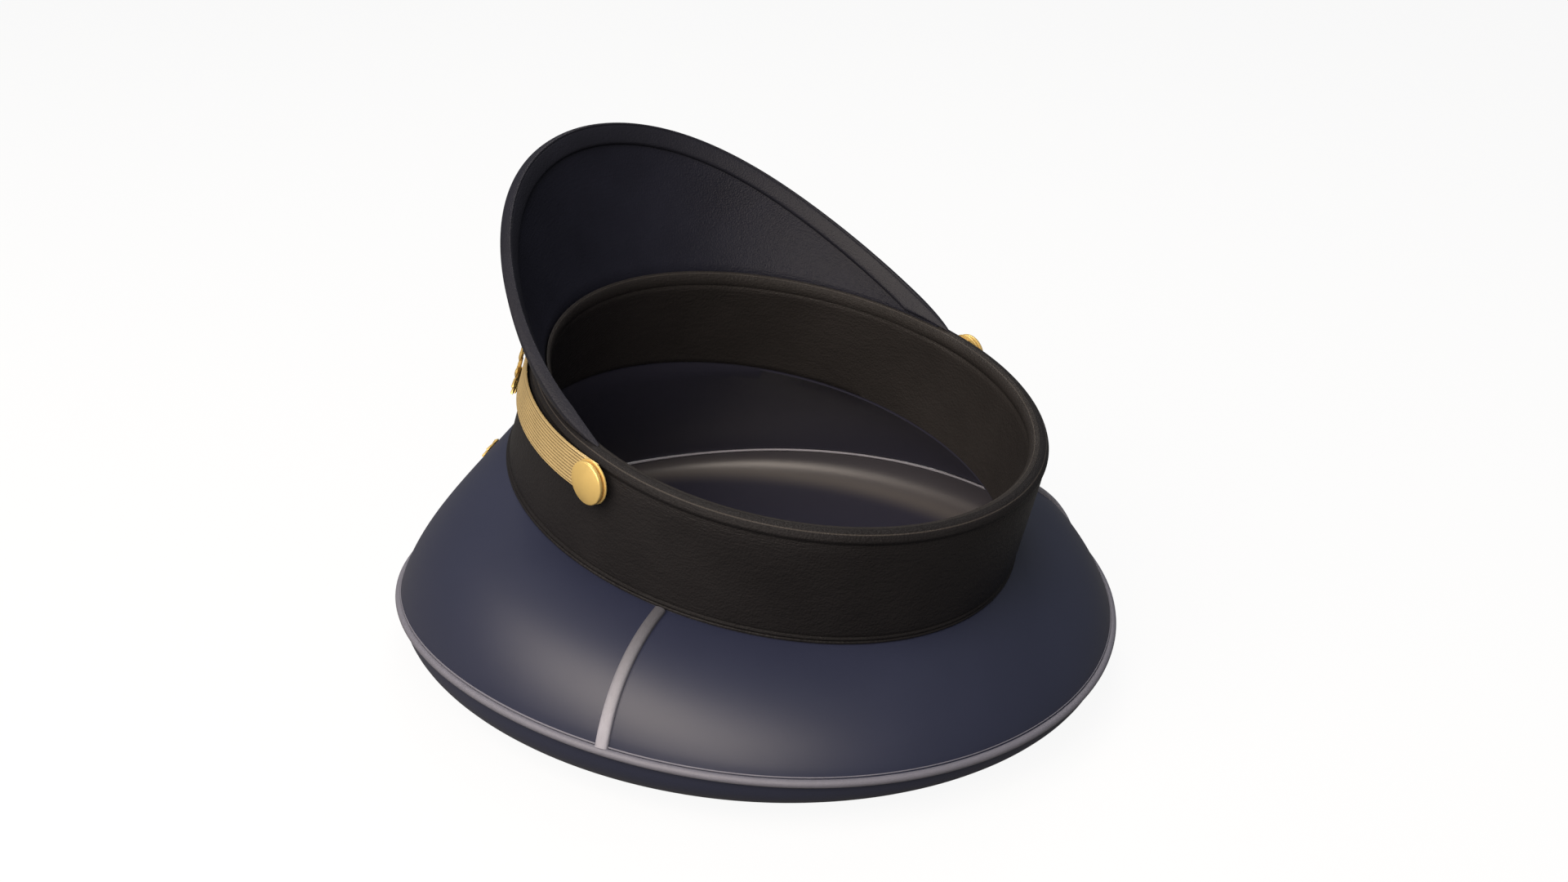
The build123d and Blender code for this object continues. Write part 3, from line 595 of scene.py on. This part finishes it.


# The top lining's satin with the painted sheen ring tinted over it by height.
sheen_ring_paint = satin_paint.copy()
sheen_ring_paint.name = "satin_painted_sheen_ring"
tree = sheen_ring_paint.node_tree
shader = tree.nodes["Principled BSDF"]
level = coordinate(tree, "Object", "Z")
climb = put(tree, "ShaderNodeMapRange", {"Value": level, "From Min": sheen_ring_low * mm,
                                         "From Max": sheen_ring_high * mm})
ring = put(tree, "ShaderNodeValToRGB", {0: climb.outputs[0]})
ring.color_ramp.interpolation = "EASE"
ring.color_ramp.elements[0].color = (0, 0, 0, 1)
ring.color_ramp.elements[1].color = (0.45, 0.45, 0.45, 1)
for ramp_stop, sheen in ((0.33, 1.0), (0.55, 0.75)):
    ring.color_ramp.elements.new(ramp_stop).color = (sheen, sheen, sheen, 1)
tint(tree, shader, ring.outputs[0], sheen_ring_colour)
piece = wrap("top_lining", round_turns, dome_rows, top_lining, (0.9, 0.15))
apply(piece, "SOLIDIFY", thickness=lining_thickness * mm, offset=-1)
finish_piece(piece, sheen_ring_paint, "cap", "satin_lining", "crown_top_lining")
welt_felt = felt_of("welt_felt", welt_felt_grey)
felt_cord("lining_cord", "lining_welt", welt_felt, crown, welt_radius,
          -(lining_depth + lining_thickness + welt_radius), -welt_radius)


# ---- Band ----
# A strip of fine-grained black leather round the band. Its lower edge is folded under above
# a thin welt, and its upper edge is turned over a cord to make the outer half of the rim.
visor_middle = -0.2
visor_end_turn = 88.3
board_thickness, visor_leather = 1.6, 0.5
visor_half = board_thickness / 2 + visor_leather + 2 * slack
roll_top, roll_foot = 0.95 * roll_radius, 3.2
hem_welt_radius = 0.65
# The second colour here is a painted highlight for the crests of the rolls.
band_black, crest_highlight_colour = (0.0135, 0.0127, 0.0136), (0.060, 0.053, 0.048)
crest_place, crest_half_width = 0.0885, 0.0018

# Leather: pebbled cells, long shallow creases along the strip, and uneven dressing.
grain, ins, outs = new_group("LeatherGrain", {"Cells": 1300.0, "Creases": 700.0,
                                              "Crease Depth": 0.9, "Patches": 40.0},
                             ("Height", "Tone"))
spot = put(grain, "ShaderNodeTexCoord")
cells = put(grain, "ShaderNodeTexVoronoi", {"Vector": spot.outputs["Object"],
                                            "Scale": ins.outputs["Cells"]},
            feature="SMOOTH_F1")
along = put(grain, "ShaderNodeMapping", {"Vector": spot.outputs["UV"], "Scale": (0.35, 1, 1)})
creases = noise(grain, along.outputs[0], ins.outputs["Creases"], 3.0, Distortion=0.4)
deep = calc(grain, "MULTIPLY", creases, ins.outputs["Crease Depth"])
height = calc(grain, "MULTIPLY_ADD", cells.outputs["Distance"], 0.6, deep)
patches = noise(grain, spot.outputs["Object"], ins.outputs["Patches"], 4.0)
grain.links.new(height, outs.inputs["Height"])
grain.links.new(patches, outs.inputs["Tone"])
band_paint, tree, shader = start_paint("band_leather", band_black, 0.45, Specular_IOR_Level=0.1)
vary(tree, shader, place_group(tree, grain), band_black, 0.7, 1.4, 0.45, 0.06, 0.0005, 0.7)


def paint_crest_highlight(tree, shader, place, half_width, colour):
    """Paints a thin lighter line along the crest of a roll as a painted highlight, and makes the
    leather glossier there.
    """
    offset = calc(tree, "SUBTRACT", coordinate(tree, "UV", "Y"), place)
    away = calc(tree, "ABSOLUTE", offset)
    crest_highlight_mask = put(tree, "ShaderNodeMapRange", {"Value": away, "From Max": half_width,
                                            "To Min": 0.9, "To Max": 0.0},
               interpolation_type="SMOOTHSTEP")
    tint(tree, shader, crest_highlight_mask.outputs[0], colour)
    plain_gloss = shader.inputs["Roughness"].links[0].from_socket
    gloss = put(tree, "ShaderNodeMix", {0: crest_highlight_mask.outputs[0], 2: plain_gloss, 3: 0.3})
    tree.links.new(gloss.outputs[0], shader.inputs["Roughness"])


paint_crest_highlight(tree, shader, crest_place, crest_half_width, crest_highlight_colour)


def trace(*runs, steps=5):
    """Points along a closed outline, curved through each run and straight across single ones."""
    points = []
    for i, run in enumerate(runs):
        stops = list(run) + [runs[(i + 1) % len(runs)][0]]
        last = len(stops) - 1
        for j in range(last):
            a, b = stops[j], stops[j + 1]
            before = stops[j - 1] if j > 0 else a + (a - b)
            after = stops[j + 2] if j + 2 <= last else b + (b - a)
            for k in range(steps):
                t = k / steps
                points.append(a + (b - before) * (t / 2)
                              + (before * 2 - a * 5 + b * 4 - after) * (t * t / 2)
                              + (a * 3 - before - b * 3 + after) * (t ** 3 / 2))
    return points + [points[0]]


def wrap_outline(name, turns, outline, flat, caps=False):
    """A closed outline carried round the cap."""
    outlines = {turn: outline(turn) for turn in turns}
    rows = list(range(len(outlines[turns[0]])))

    def place(turn, row):
        return outlines[turn][row]
    return wrap(name, turns, rows, place, flat, caps)


def split(turn):
    """Half the gap between the two halves of the rim, wide where the visor stands in it."""
    side = abs((turn + 180) % 360 - 180)
    blend = min(1.0, max(0.0, (side - visor_end_turn + 9) / 10))
    blend = blend * blend * (3 - 2 * blend)
    return visor_half * (1 - blend) + 0.03 * blend


def roll_points(turn, inner, outer, angles):
    """Points over one half of the rolled rim."""
    return [rim.at(turn, inner + (outer - inner) * cos(radians(a)), roll_top * sin(radians(a)))
            for a in angles]


# The face of the cover as (rise, out): the bead folded at its hem, then up to the roll.
hem_bead = [(0, -0.25), (0.2, 0.18), (0.65, 0.36), (1.15, 0.18), (1.5, -0.22), (2.1, -0.1),
            (3.2, 0)]
cover_face = [(10, 0), (20, 0), (30, 0), (37, -0.02), (40.5, -0.12), (42.6, -0.4),
              (band_height - 0.5, -0.62), (band_height + 0.2, -0.3)]


def cover_outline(turn):
    inside = visor_middle + split(turn)
    base = 2 * hem_welt_radius + 2 * slack
    outer = [wall(turn, base + rise, out) for rise, out in hem_bead]
    outer += [wall(turn, rise, out) for rise, out in cover_face]
    crest = roll_points(turn, inside, roll_radius + 0.2, (6, 22, 38, 54, 70, 82, 90))
    return trace(outer + crest[:-1], [crest[-1]], [rim.at(turn, inside, -roll_foot)],
                 [wall(turn, band_height - roll_foot, -cover_leather)],
                 [wall(turn, base, -cover_leather)], [wall(turn, base, -0.7)])


piece = wrap_outline("band_leather", round_turns, cover_outline, (0.62, 0.13))
finish_piece(piece, band_paint, "cap", "band_leather", "band_cover", angle=50)
place, steps = cord_outline(hem, hem_welt_radius, -0.2 * hem_welt_radius, hem_welt_radius + slack)
piece = wrap("band_welt", round_turns, steps, place, (0.64, 0.004))
finish_piece(piece, band_paint, "cap", "band_leather", "band_lower_welt")


# ---- Sweatband ----
# A wide strip of soft dark leather against the head, turned over its own cord at the rim,
# with a cut lower edge that hangs over the lining.
sweat_leather = 1.0
sweat_out = -(cover_leather + cloth + lining_thickness + 3 * slack)
sweat_in = sweat_out - sweat_leather
sweat_black = (0.022, 0.0200, 0.0196)
sweat_crest_place = 0.073
sweat_paint, tree, shader = start_paint("sweat_leather", sweat_black, 0.45, Specular_IOR_Level=0.12)
vary(tree, shader, place_group(tree, grain, Cells=1200.0, Creases=600.0, Crease_Depth=0.7),
     sweat_black, 0.75, 1.3, 0.45, 0.06, 0.0005, 0.7)
# The same painted highlight along the sweatband roll's crest.
paint_crest_highlight(tree, shader, sweat_crest_place, crest_half_width, crest_highlight_colour)


def sweat_outline(turn):
    inside = visor_middle - split(turn)
    face = -(roll_radius - slack)
    low = hem.at(turn, sweat_in, slack)
    crease = rim.at(turn, face + 0.25, -roll_radius - 0.7)
    inner = [low + Vector((0, 0, 0.3)), low + (crease - low) * 0.3, low + (crease - low) * 0.6,
             low + (crease - low) * 0.88, crease]
    crest = roll_points(turn, inside, -roll_radius, (-44, -30, -12, 6, 24, 42, 60, 76, 90))
    out_of = (hem.at(turn, sweat_out, slack) - low) * 0.5
    return trace(inner + crest[:-1], [crest[-1]], [rim.at(turn, inside, -roll_foot)],
                 [rim.at(turn, face + sweat_leather, -roll_radius - 1.0)],
                 [hem.at(turn, sweat_out, slack)], [low + out_of])


piece = wrap_outline("sweat_leather", round_turns, sweat_outline, (0.58, 0.12))
finish_piece(piece, sweat_paint, "cap", "sweat_leather", "sweatband", angle=50)


# ---- Visor ----
# A pressed board between two faces of fine leather, sewn in between the halves of the rim.
# A folded and padded leather binding stands proud of both faces round its edge.
visor_length, visor_bulge = 63.4, 2.0
visor_droop, visor_droop_sides = 60.5, 3.1
visor_taper, visor_corner = 0.91, 0.234
visor_root_up = 3.4
binding_width, binding_thickness, binding_slot = 8.8, 1.45, 0.6
binding_navy = (0.0120, 0.0125, 0.0190)
visor_navy = (0.0095, 0.0100, 0.0170)
leather_low = board_thickness / 2 + slack
leather_high = leather_low + visor_leather
visor_paint, tree, shader = start_paint("visor_leather", visor_navy, 0.46, Specular_IOR_Level=0.15)
vary(tree, shader, place_group(tree, grain, Cells=1700.0, Creases=1100.0, Crease_Depth=0.7),
     visor_navy, 0.65, 1.4, 0.46, 0.07, 0.0004, 0.55)


def visor_run(turn):
    """The visor's root, its direction, the way in from its face, and its length at a turn."""
    a = radians(90 * turn / visor_end_turn)
    length = visor_length * max(cos(a), 0.0) ** visor_taper
    length *= 1 + visor_corner * (cos(2 * a) - 1)
    droop = radians(visor_droop + visor_droop_sides * (1 - cos(2 * a)) / 2)
    outward = (rim.at(turn, 1) - rim.at(turn)).normalized()
    along = outward * cos(droop) + rim.axis * sin(droop)
    inward = rim.axis * cos(droop) - outward * sin(droop)
    return rim.at(turn, visor_middle, visor_root_up), along, inward, length


def visor(turn, from_edge, lift):
    """A point on the visor, measured back from its edge and up from its middle surface."""
    root, along, inward, length = visor_run(turn)
    share = 1 - from_edge / length
    bulge = visor_bulge * 4 * share * (1 - share) * min(1.0, length / visor_length)
    return root + along * (length * share) + inward * (lift - bulge)


flange = 2.2
visor_turns = [88.0 * sin(radians(a)) for a in spread(-90, 90, 221)]
leather_turns = [85.0 * sin(radians(a)) for a in spread(-90, 90, 201)]
for name, node, low, high in (("visor_under_leather", "visor_lining", leather_low, leather_high),
                              ("visor_upper_leather", "visor_cover", -leather_high, -leather_low)):
    def leaf_outline(turn):
        length = visor_run(turn)[3]
        stops = spread(0.9 + slack, length * 0.97, 14)
        sewn_in = [rim.at(turn, visor_middle - lift, visor_root_up - flange) for lift in (high, low)]
        top = sewn_in[:1] + [visor(turn, stop, high) for stop in reversed(stops)]
        base = [visor(turn, stop, low) for stop in stops] + sewn_in[1:]
        return trace(top[:-1], [top[-1]], base[:-1], [base[-1]], steps=2)

    piece = wrap_outline(name, leather_turns, leaf_outline, (0.3, 0.13), caps=True)
    finish_piece(piece, visor_paint, "cap", "visor_leather", node)

binding_profile = [(1.0, 0.15), (0.975, 0.6), (0.9, 0.98), (0.75, 1.08), (0.5, 1.0), (0.3, 0.85),
                   (0.15, 0.66), (0.11, 0.52), (0.08, 0.62), (0.04, 0.58), (0.0, 0.35)]
binding_paint, tree, shader = start_paint("binding_leather", binding_navy, 0.5,
                                          Specular_IOR_Level=0.2)
vary(tree, shader, place_group(tree, grain, Cells=1700.0, Creases=1100.0, Crease_Depth=0.7),
     binding_navy, 0.75, 1.3, 0.5, 0.06, 0.00035, 0.5)


def binding_outline(turn):
    length = visor_run(turn)[3]
    width = min(binding_width, 0.97 * length)
    width_below = min(binding_width, max(0.5 * length, length - 4.5))
    thin = min(1.0, length / 7) ** 0.6
    inside = (leather_high + slack / 2) * thin
    upper = [visor(turn, width * share, inside + thin * binding_thickness * proud)
             for share, proud in binding_profile]
    lower = [visor(turn, width_below * share, -inside - 0.6 * thin * binding_thickness * proud)
             for share, proud in reversed(binding_profile)]
    nose = [visor(turn, -0.35 * min(1, length / 20), 0)]
    slot = min(binding_slot, 0.3 * length)
    return trace(upper + nose + lower[:-1], [lower[-1]], [visor(turn, width_below, -inside)],
                 [visor(turn, slot, -inside)], [visor(turn, slot, inside)],
                 [visor(turn, width, inside)], steps=3)


piece = wrap_outline("visor_edge_binding", visor_turns, binding_outline, (0.42, 0.03), caps=True)
finish_piece(piece, binding_paint, "cap", "visor_leather", "visor_binding", angle=60)


# ---- Chin strap ----
# Flat gold braid woven in ten rounded ribs, doubled over a tape. It runs round the front of
# the band from button to button and turns a little on their posts.
strap_width, strap_thickness, strap_stand_off = 15.0, 1.4, 0.8
strap_tilt = 6.0
pivot_y, pivot_z = 20.0, crown_depth + 82.0
rib_count, rib_rows = 10, 3
strap_girth, strap_first_row = 0.03, 4
strap_rows = 2 * rib_rows * rib_count + 8
strap_gold, groove_shade_brown = (0.53, 0.40, 0.190), (0.07, 0.045, 0.018)

# Braid: fine slanted threads over each rib, with patches of tarnish over it.
braid, ins, outs = new_group("BraidThreads", {"Threads": 1500.0, "Tarnish": 60.0},
                             ("Height", "Tone"))
spot = put(braid, "ShaderNodeTexCoord")
slanted = put(braid, "ShaderNodeMapping", {"Vector": spot.outputs["UV"],
                                           "Rotation": (0, 0, radians(62))})
threads = put(braid, "ShaderNodeTexWave", {"Vector": slanted.outputs[0],
                                           "Scale": ins.outputs["Threads"], "Distortion": 1.0})
tarnish = noise(braid, spot.outputs["Object"], ins.outputs["Tarnish"], 4.0)
tone = calc(braid, "MULTIPLY_ADD", threads.outputs["Fac"], 0.25, tarnish)
braid.links.new(threads.outputs["Fac"], outs.inputs["Height"])
braid.links.new(tone, outs.inputs["Tone"])
strap_paint, tree, shader = start_paint("gold_braid", strap_gold, 0.5, Metallic=0.4)
vary(tree, shader, place_group(tree, braid), strap_gold, 0.85, 1.2, 0.5, 0.06, 0.0001, 0.35)
# Painted shade: the grooves between the ribs are tinted dark brown.
row_of = calc(tree, "MULTIPLY_ADD", coordinate(tree, "UV", "Y"), strap_rows / strap_girth,
              -strap_first_row)
in_rib = calc(tree, "PINGPONG", row_of, rib_rows)
groove_shade_mask = put(tree, "ShaderNodeMapRange", {"Value": in_rib, "From Min": 0.35,
                                           "From Max": 1.3, "To Min": 1.0, "To Max": 0.0})
tint(tree, shader, groove_shade_mask.outputs[0], groove_shade_brown)


def band_frame(turn, rise, out):
    """A place on the band: its point, the direction up the band and the one outwards."""
    foot = wall(turn, 0, out)
    up_band = (wall(turn, band_height, out) - foot).normalized()
    level = (wall(turn + 0.5, rise, out) - wall(turn - 0.5, rise, out)).normalized()
    return foot + up_band * rise, up_band, level.cross(up_band).normalized()


def strap_rise(turn, out):
    """How far up the band the strap's middle runs: it keeps to a plane through the pivot."""
    foot = wall(turn, 0, out)
    top = wall(turn, band_height, out)
    climb = tan(radians(strap_tilt))
    need = pivot_z + climb * (pivot_y - foot.y) - foot.z
    gain = (top.z - foot.z) + climb * (top.y - foot.y)
    return (top - foot).length * need / gain


def strap_outline(turn):
    middle, up_band, outward = band_frame(turn, strap_rise(turn, strap_stand_off), strap_stand_off)
    half = strap_width / 2
    edge = 0.75
    profile = [(-half, 0.15), (-half, 0.7), (-half + 0.35, 0.95), (-half + edge, 0.86)]
    pitch = (strap_width - 2 * edge) / rib_count
    for rib in range(rib_count):
        start = -half + edge + rib * pitch
        profile += [(start + pitch * s, 0.55 + 0.45 * h) for s, h in
                    ((0.0, 0.0), (0.12, 0.7), (0.3, 0.95), (0.5, 1.0), (0.7, 0.95), (0.88, 0.7))]
    profile += [(half - edge, 0.86), (half - 0.35, 0.95), (half, 0.7), (half, 0.15)]
    points = [middle + up_band * a + outward * (strap_thickness * b) for a, b in profile]
    return points + [points[0]]


def side_of_band(y, z, out):
    """The turn at which the band's right side passes a y and a z, and its x there."""
    low, high = 60.0, 120.0
    for _ in range(40):
        turn = (low + high) / 2
        foot = wall(turn, 0, out)
        top = wall(turn, band_height, out)
        here = foot + (top - foot) * ((z - foot.z) / (top.z - foot.z))
        if here.y < y:
            low = turn
        else:
            high = turn
    return turn, here.x


strap_end = side_of_band(pivot_y - 0.5, pivot_z, strap_stand_off)[0]
piece = wrap_outline("strap_braid", spread(-strap_end, strap_end, 321), strap_outline,
                     (0.3, strap_girth), caps=True)
finish_piece(piece, strap_paint, "chin_strap", "gold_braid", "chin_strap", angle=50)


# ---- Side buttons and the strap's end plates ----
# Turned and gilt brass. The plates hold the strap's ends, and each button is a shallow
# dome on a post that it turns on.
plate_radius, plate_thickness = 8.4, 0.8
button_radius, button_edge, button_crown, button_gap = 8.1, 1.4, 1.4, 0.8
gilt_colour = (0.86, 0.62, 0.22)

gilding, ins, outs = new_group("GiltWear", {"Clouds": 90.0, "Marks": 900.0}, ("Height", "Tone"))
spot = put(gilding, "ShaderNodeTexCoord")
clouds = noise(gilding, spot.outputs["Object"], ins.outputs["Clouds"], 5.0)
marks = noise(gilding, spot.outputs["Object"], ins.outputs["Marks"], 3.0)
gilding.links.new(marks, outs.inputs["Height"])
gilding.links.new(clouds, outs.inputs["Tone"])
gilt_paint, tree, shader = start_paint("gilt", gilt_colour, 0.42, Metallic=0.55)
vary(tree, shader, place_group(tree, gilding), gilt_colour, 0.8, 1.15, 0.42, 0.08, 0.00008, 0.5)

band_side = side_of_band(pivot_y, pivot_z, 0)[1]
plate_inner = band_side + strap_stand_off + strap_thickness + slack / 2
button_back = plate_inner + plate_thickness + button_gap


def turned_disc(name, side, start, profile):
    """A disc turned on the pivot: profile gives how far out each ring of its face stands."""
    def place(turn, row):
        along, radius = profile[row]
        return Vector((side * (start + along), pivot_y + radius * cos(radians(turn)),
                       pivot_z + radius * sin(radians(turn))))
    return wrap(name, spread(0, 360, 97), list(range(len(profile))), place, (0.05, 0.02))


for side, word in ((1, "right"), (-1, "left")):
    t, r = plate_thickness, plate_radius
    plate = turned_disc(f"end_plate_{word}", side, plate_inner,
                        [(0, 1.55), (0, r - 0.3), (0.12 * t, r - 0.08), (0.4 * t, r),
                         (0.75 * t, r - 0.08), (0.95 * t, r - 0.35), (t, r - 0.8),
                         (0.92 * t, r - 1.6), (0.92 * t, 1.55), (0, 1.55)])
    finish_piece(plate, gilt_paint, "chin_strap", "gilt", f"strap_end_{word}")
    r, e, c = button_radius, button_edge, button_crown
    cap = [(0.0, 0.0), (0.0, r - 0.5), (0.1, r - 0.15), (0.35, r), (e - 0.3, r),
           (e - 0.08, r - 0.06), (e + 0.1, r - 0.25), (e + 0.2, r - 0.55)]
    cap += [(e + 0.2 + (c - 0.2) * (1 - (share * share)), (r - 0.55) * share)
            for share in spread(0.93, 0, 12)]
    button = turned_disc(f"button_{word}", side, button_back, cap)
    finish_piece(button, gilt_paint, f"button_{word}", "gilt", f"side_button_{word}")


# ---- Ornaments ----
# Die-struck and gilt: a rosette in a laurel wreath on the band's front, over the strap, and
# a spray of laurel on the crown's front. Posts and nuts hold them.
badge_plate, badge_gap = 1.2, 1.0
leaf_length, leaf_width, leaf_spread = 9.5, 4.8, 42.0
leaf_bend = 0.004
stem_width = 2.0
wreath_steps, wreath_turn = (0.03, 0.08, 0.15, 0.24, 0.35, 0.48, 0.61, 0.74, 0.87, 1.0), 40.0
wreath_rise, wreath_climb = 15.0, 22.0
rosette_radius, rosette_rise, petals = 12.0, 27.0, 12
spray_steps, spray_turn = (0.2, 0.4, 0.6, 0.8, 1.0), 27.0
spray_share, spray_swing = 0.55, 0.3
spray_stand_off, spray_boss_radius = 0.3, 7.0


def model_leaf(length, width):
    """A pointed leaf with a midrib and side veins, lying on the XY plane along +X."""
    bpy.ops.object.select_all(action="DESELECT")
    bpy.ops.mesh.primitive_grid_add(x_subdivisions=16, y_subdivisions=8, size=2)
    leaf = bpy.context.object
    for corner in leaf.data.vertices:
        along_leaf = (corner.co.x + 1) / 2
        across = corner.co.y
        half_width = width / 2 * sin(pi * along_leaf ** 0.85) ** 0.8 if 0 < along_leaf < 1 else 0
        vein = 0.12 * cos(2 * pi * (6 * along_leaf - 1.2 * abs(across)))
        body = 0.55 * (1 - across * across) + vein * (1 - abs(across)) * sin(pi * along_leaf)
        groove = 0.35 * exp(-(across / 0.16) ** 2)
        corner.co = Vector((along_leaf * length, across * half_width,
                            badge_plate * (0.35 + body - groove)
                            - leaf_bend * (along_leaf * length) ** 2))
    tidy(leaf)
    apply(leaf, "SOLIDIFY", thickness=0.4 * badge_plate, offset=-1)
    return leaf


def set_in(leaf, foot, along_leaf, outward):
    """A copy of the leaf laid at a point, in metres."""
    across = outward.cross(along_leaf)
    turned = Matrix((along_leaf, across, outward)).transposed().to_4x4()
    copy = leaf.copy()
    copy.data = leaf.data.copy()
    bpy.context.collection.objects.link(copy)
    copy.data.transform(Matrix.Scale(mm, 4) @ Matrix.Translation(foot) @ turned)
    return copy


def join(pieces, name):
    pick(*pieces)
    bpy.ops.object.join()
    whole = bpy.context.object
    whole.name = whole.data.name = name
    return whole


def sprig(place, steps, size):
    """Leaves in pairs along a ridged stem, on both sides of the front."""
    leaf = model_leaf(leaf_length * size, leaf_width * size)
    parts = []
    for side in (1, -1):
        def mirrored(vector):
            return Vector((side * vector.x, vector.y, vector.z))

        def frame_at(step):
            foot, outward = place(step)
            onward = place(step + 0.02)[0] - foot
            onward = (onward - outward * onward.dot(outward)).normalized()
            return foot, onward, outward

        for step in steps:
            foot, onward, outward = frame_at(step)
            beside = outward.cross(onward)
            for angle in (-leaf_spread, leaf_spread):
                way = onward * cos(radians(angle)) + beside * sin(radians(angle))
                parts.append(set_in(leaf, mirrored(foot), mirrored(way), mirrored(outward)))
            if step == steps[-1]:
                parts.append(set_in(leaf, mirrored(foot), mirrored(onward), mirrored(outward)))

        def stem_at(step, row):
            foot, onward, outward = frame_at(step)
            a = pi * row / 6
            point = foot + outward.cross(onward) * (size * stem_width / 2 * cos(a))
            swell = 0.75 if row < 6 else 0.5
            return mirrored(point + outward * (badge_plate * (0.25 + swell * sin(a))))

        parts.append(wrap("stem", spread(0, steps[-1], 40), list(range(13)), stem_at, caps=True))
    bpy.data.objects.remove(leaf)
    return parts


band_badge_out = strap_stand_off + strap_thickness + badge_gap


def wreath_place(step):
    """The wreath's stem runs out to the side and turns up."""
    rise = wreath_rise + wreath_climb * step ** 3
    foot, up_band, outward = band_frame(wreath_turn * sin(pi / 2 * step) ** 0.7, rise, band_badge_out)
    return foot, outward


def spray_place(step):
    """The spray's stem climbs towards the band as it runs out to the side."""
    share = spray_share - spray_swing * sin(pi / 2 * step)
    foot, towards_hem, outward = crown_frame(spray_turn * step, share, spray_stand_off)
    return foot, outward


def medal(name, foot, up_face, outward, profile, sides=72, ripple=0.0, ripples=1):
    """A round plate turned about an axis; its rings may be drawn out into petals."""
    beside = up_face.cross(outward)

    def place(turn, row):
        radius, height = profile[row]
        radius *= 1 + ripple * cos(radians(turn * ripples)) * (radius / profile[1][0])
        a = radians(turn)
        return foot + (up_face * cos(a) + beside * sin(a)) * radius + outward * height
    return wrap(name, spread(0, 360, sides + 1), list(range(len(profile))), place)


piece = join(sprig(wreath_place, wreath_steps, 0.85), "wreath_leaves")
finish_piece(piece, gilt_paint, "cap", "gilt", angle=35)
boss, boss_up, boss_out = band_frame(0, rosette_rise, band_badge_out)
r = rosette_radius
backing = medal("rosette_backing", boss, boss_up, boss_out,
                [(0, 0), (r + 0.5, 0), (r + 0.5, 0.8), (r + 0.1, 1.2), (r - 1, 1.2), (0, 1.2)])
finish_piece(backing, gilt_paint, "cap", "gilt", "band_badge_wreath")
foot = boss + boss_out * (badge_plate + slack / 3)
layers = [medal("petals", foot, boss_up, boss_out,
                [(0, 0), (0.88 * r, 0), (0.9 * r, 0.3), (0.8 * r, 1.0), (0.6 * r, 1.1),
                 (0.45 * r, 0.8), (0.35 * r, 0.9), (0, 0.9)], 144, 0.1, petals),
          medal("inner_petals", foot + boss_out * 0.8, boss_up, boss_out,
                [(0, 0), (0.55 * r, 0), (0.56 * r, 0.3), (0.5 * r, 0.9), (0.4 * r, 0.9),
                 (0.3 * r, 0.6), (0, 0.6)], 96, 0.09, 8),
          medal("knob", foot + boss_out, boss_up, boss_out,
                [(0, 0), (0.3 * r, 0), (0.31 * r, 0.6), (0.27 * r, 1.6), (0.2 * r, 2.4),
                 (0.1 * r, 2.9), (0, 3.0)], 48)]
piece = join(layers, "rosette")
finish_piece(piece, gilt_paint, "cap", "gilt", "band_badge_rosette")
piece = join(sprig(spray_place, spray_steps, 0.75), "spray_leaves")
finish_piece(piece, gilt_paint, "cap", "gilt", "crown_badge_spray", angle=35)
foot, spray_up, spray_out = crown_frame(0, spray_share, spray_stand_off)
b = spray_boss_radius
piece = medal("spray_boss", foot, spray_up, spray_out,
              [(0, 0), (b, 0), (b, 0.9), (0.92 * b, 1.5), (0.8 * b, 1.7), (0.7 * b, 1.2),
               (0.6 * b, 1.3), (0.35 * b, 2.1), (0, 2.4)])
finish_piece(piece, gilt_paint, "cap", "gilt")


# ---- Inside the cap ----
# What the leather, cloth and lining cover: boards, canvas, spring wire, posts and nuts.
def plain_paint(name, colour, roughness, metallic, group, dark=0.8, light=1.2, depth=0.0002):
    paint, tree, shader = start_paint(name, colour, roughness, Metallic=metallic)
    vary(tree, shader, place_group(tree, group), colour, dark, light, roughness, 0.05, depth, 0.4)
    return paint


hidden = {
    "pressed_board": (plain_paint("pressed_board", (0.24, 0.17, 0.10), 0.85, 0.0, felt),
                      ("band_stiffener", "front_stay")),
    "black_board": (plain_paint("black_board", (0.014, 0.013, 0.012), 0.8, 0.0, felt),
                    ("visor_board",)),
    "canvas": (plain_paint("canvas", (0.60, 0.56, 0.47), 0.9, 0.0, felt), ("crown_top_pad",)),
    "spring_steel": (plain_paint("spring_steel", (0.5, 0.5, 0.52), 0.35, 1.0, gilding),
                     ("crown_wire_ring", "stay_spring")),
    "brass": (plain_paint("brass", (0.66, 0.47, 0.2), 0.4, 1.0, gilding),
              ("wire_ring_sleeve", "button_post_left", "button_post_right", "button_washer_left",
               "button_washer_right", "band_badge_posts", "band_badge_nuts", "crown_badge_posts",
               "crown_badge_washers")),
}
for paint, names in hidden.values():
    for name in names:
        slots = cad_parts[name].material_slots
        for spot in slots:
            spot.material = paint
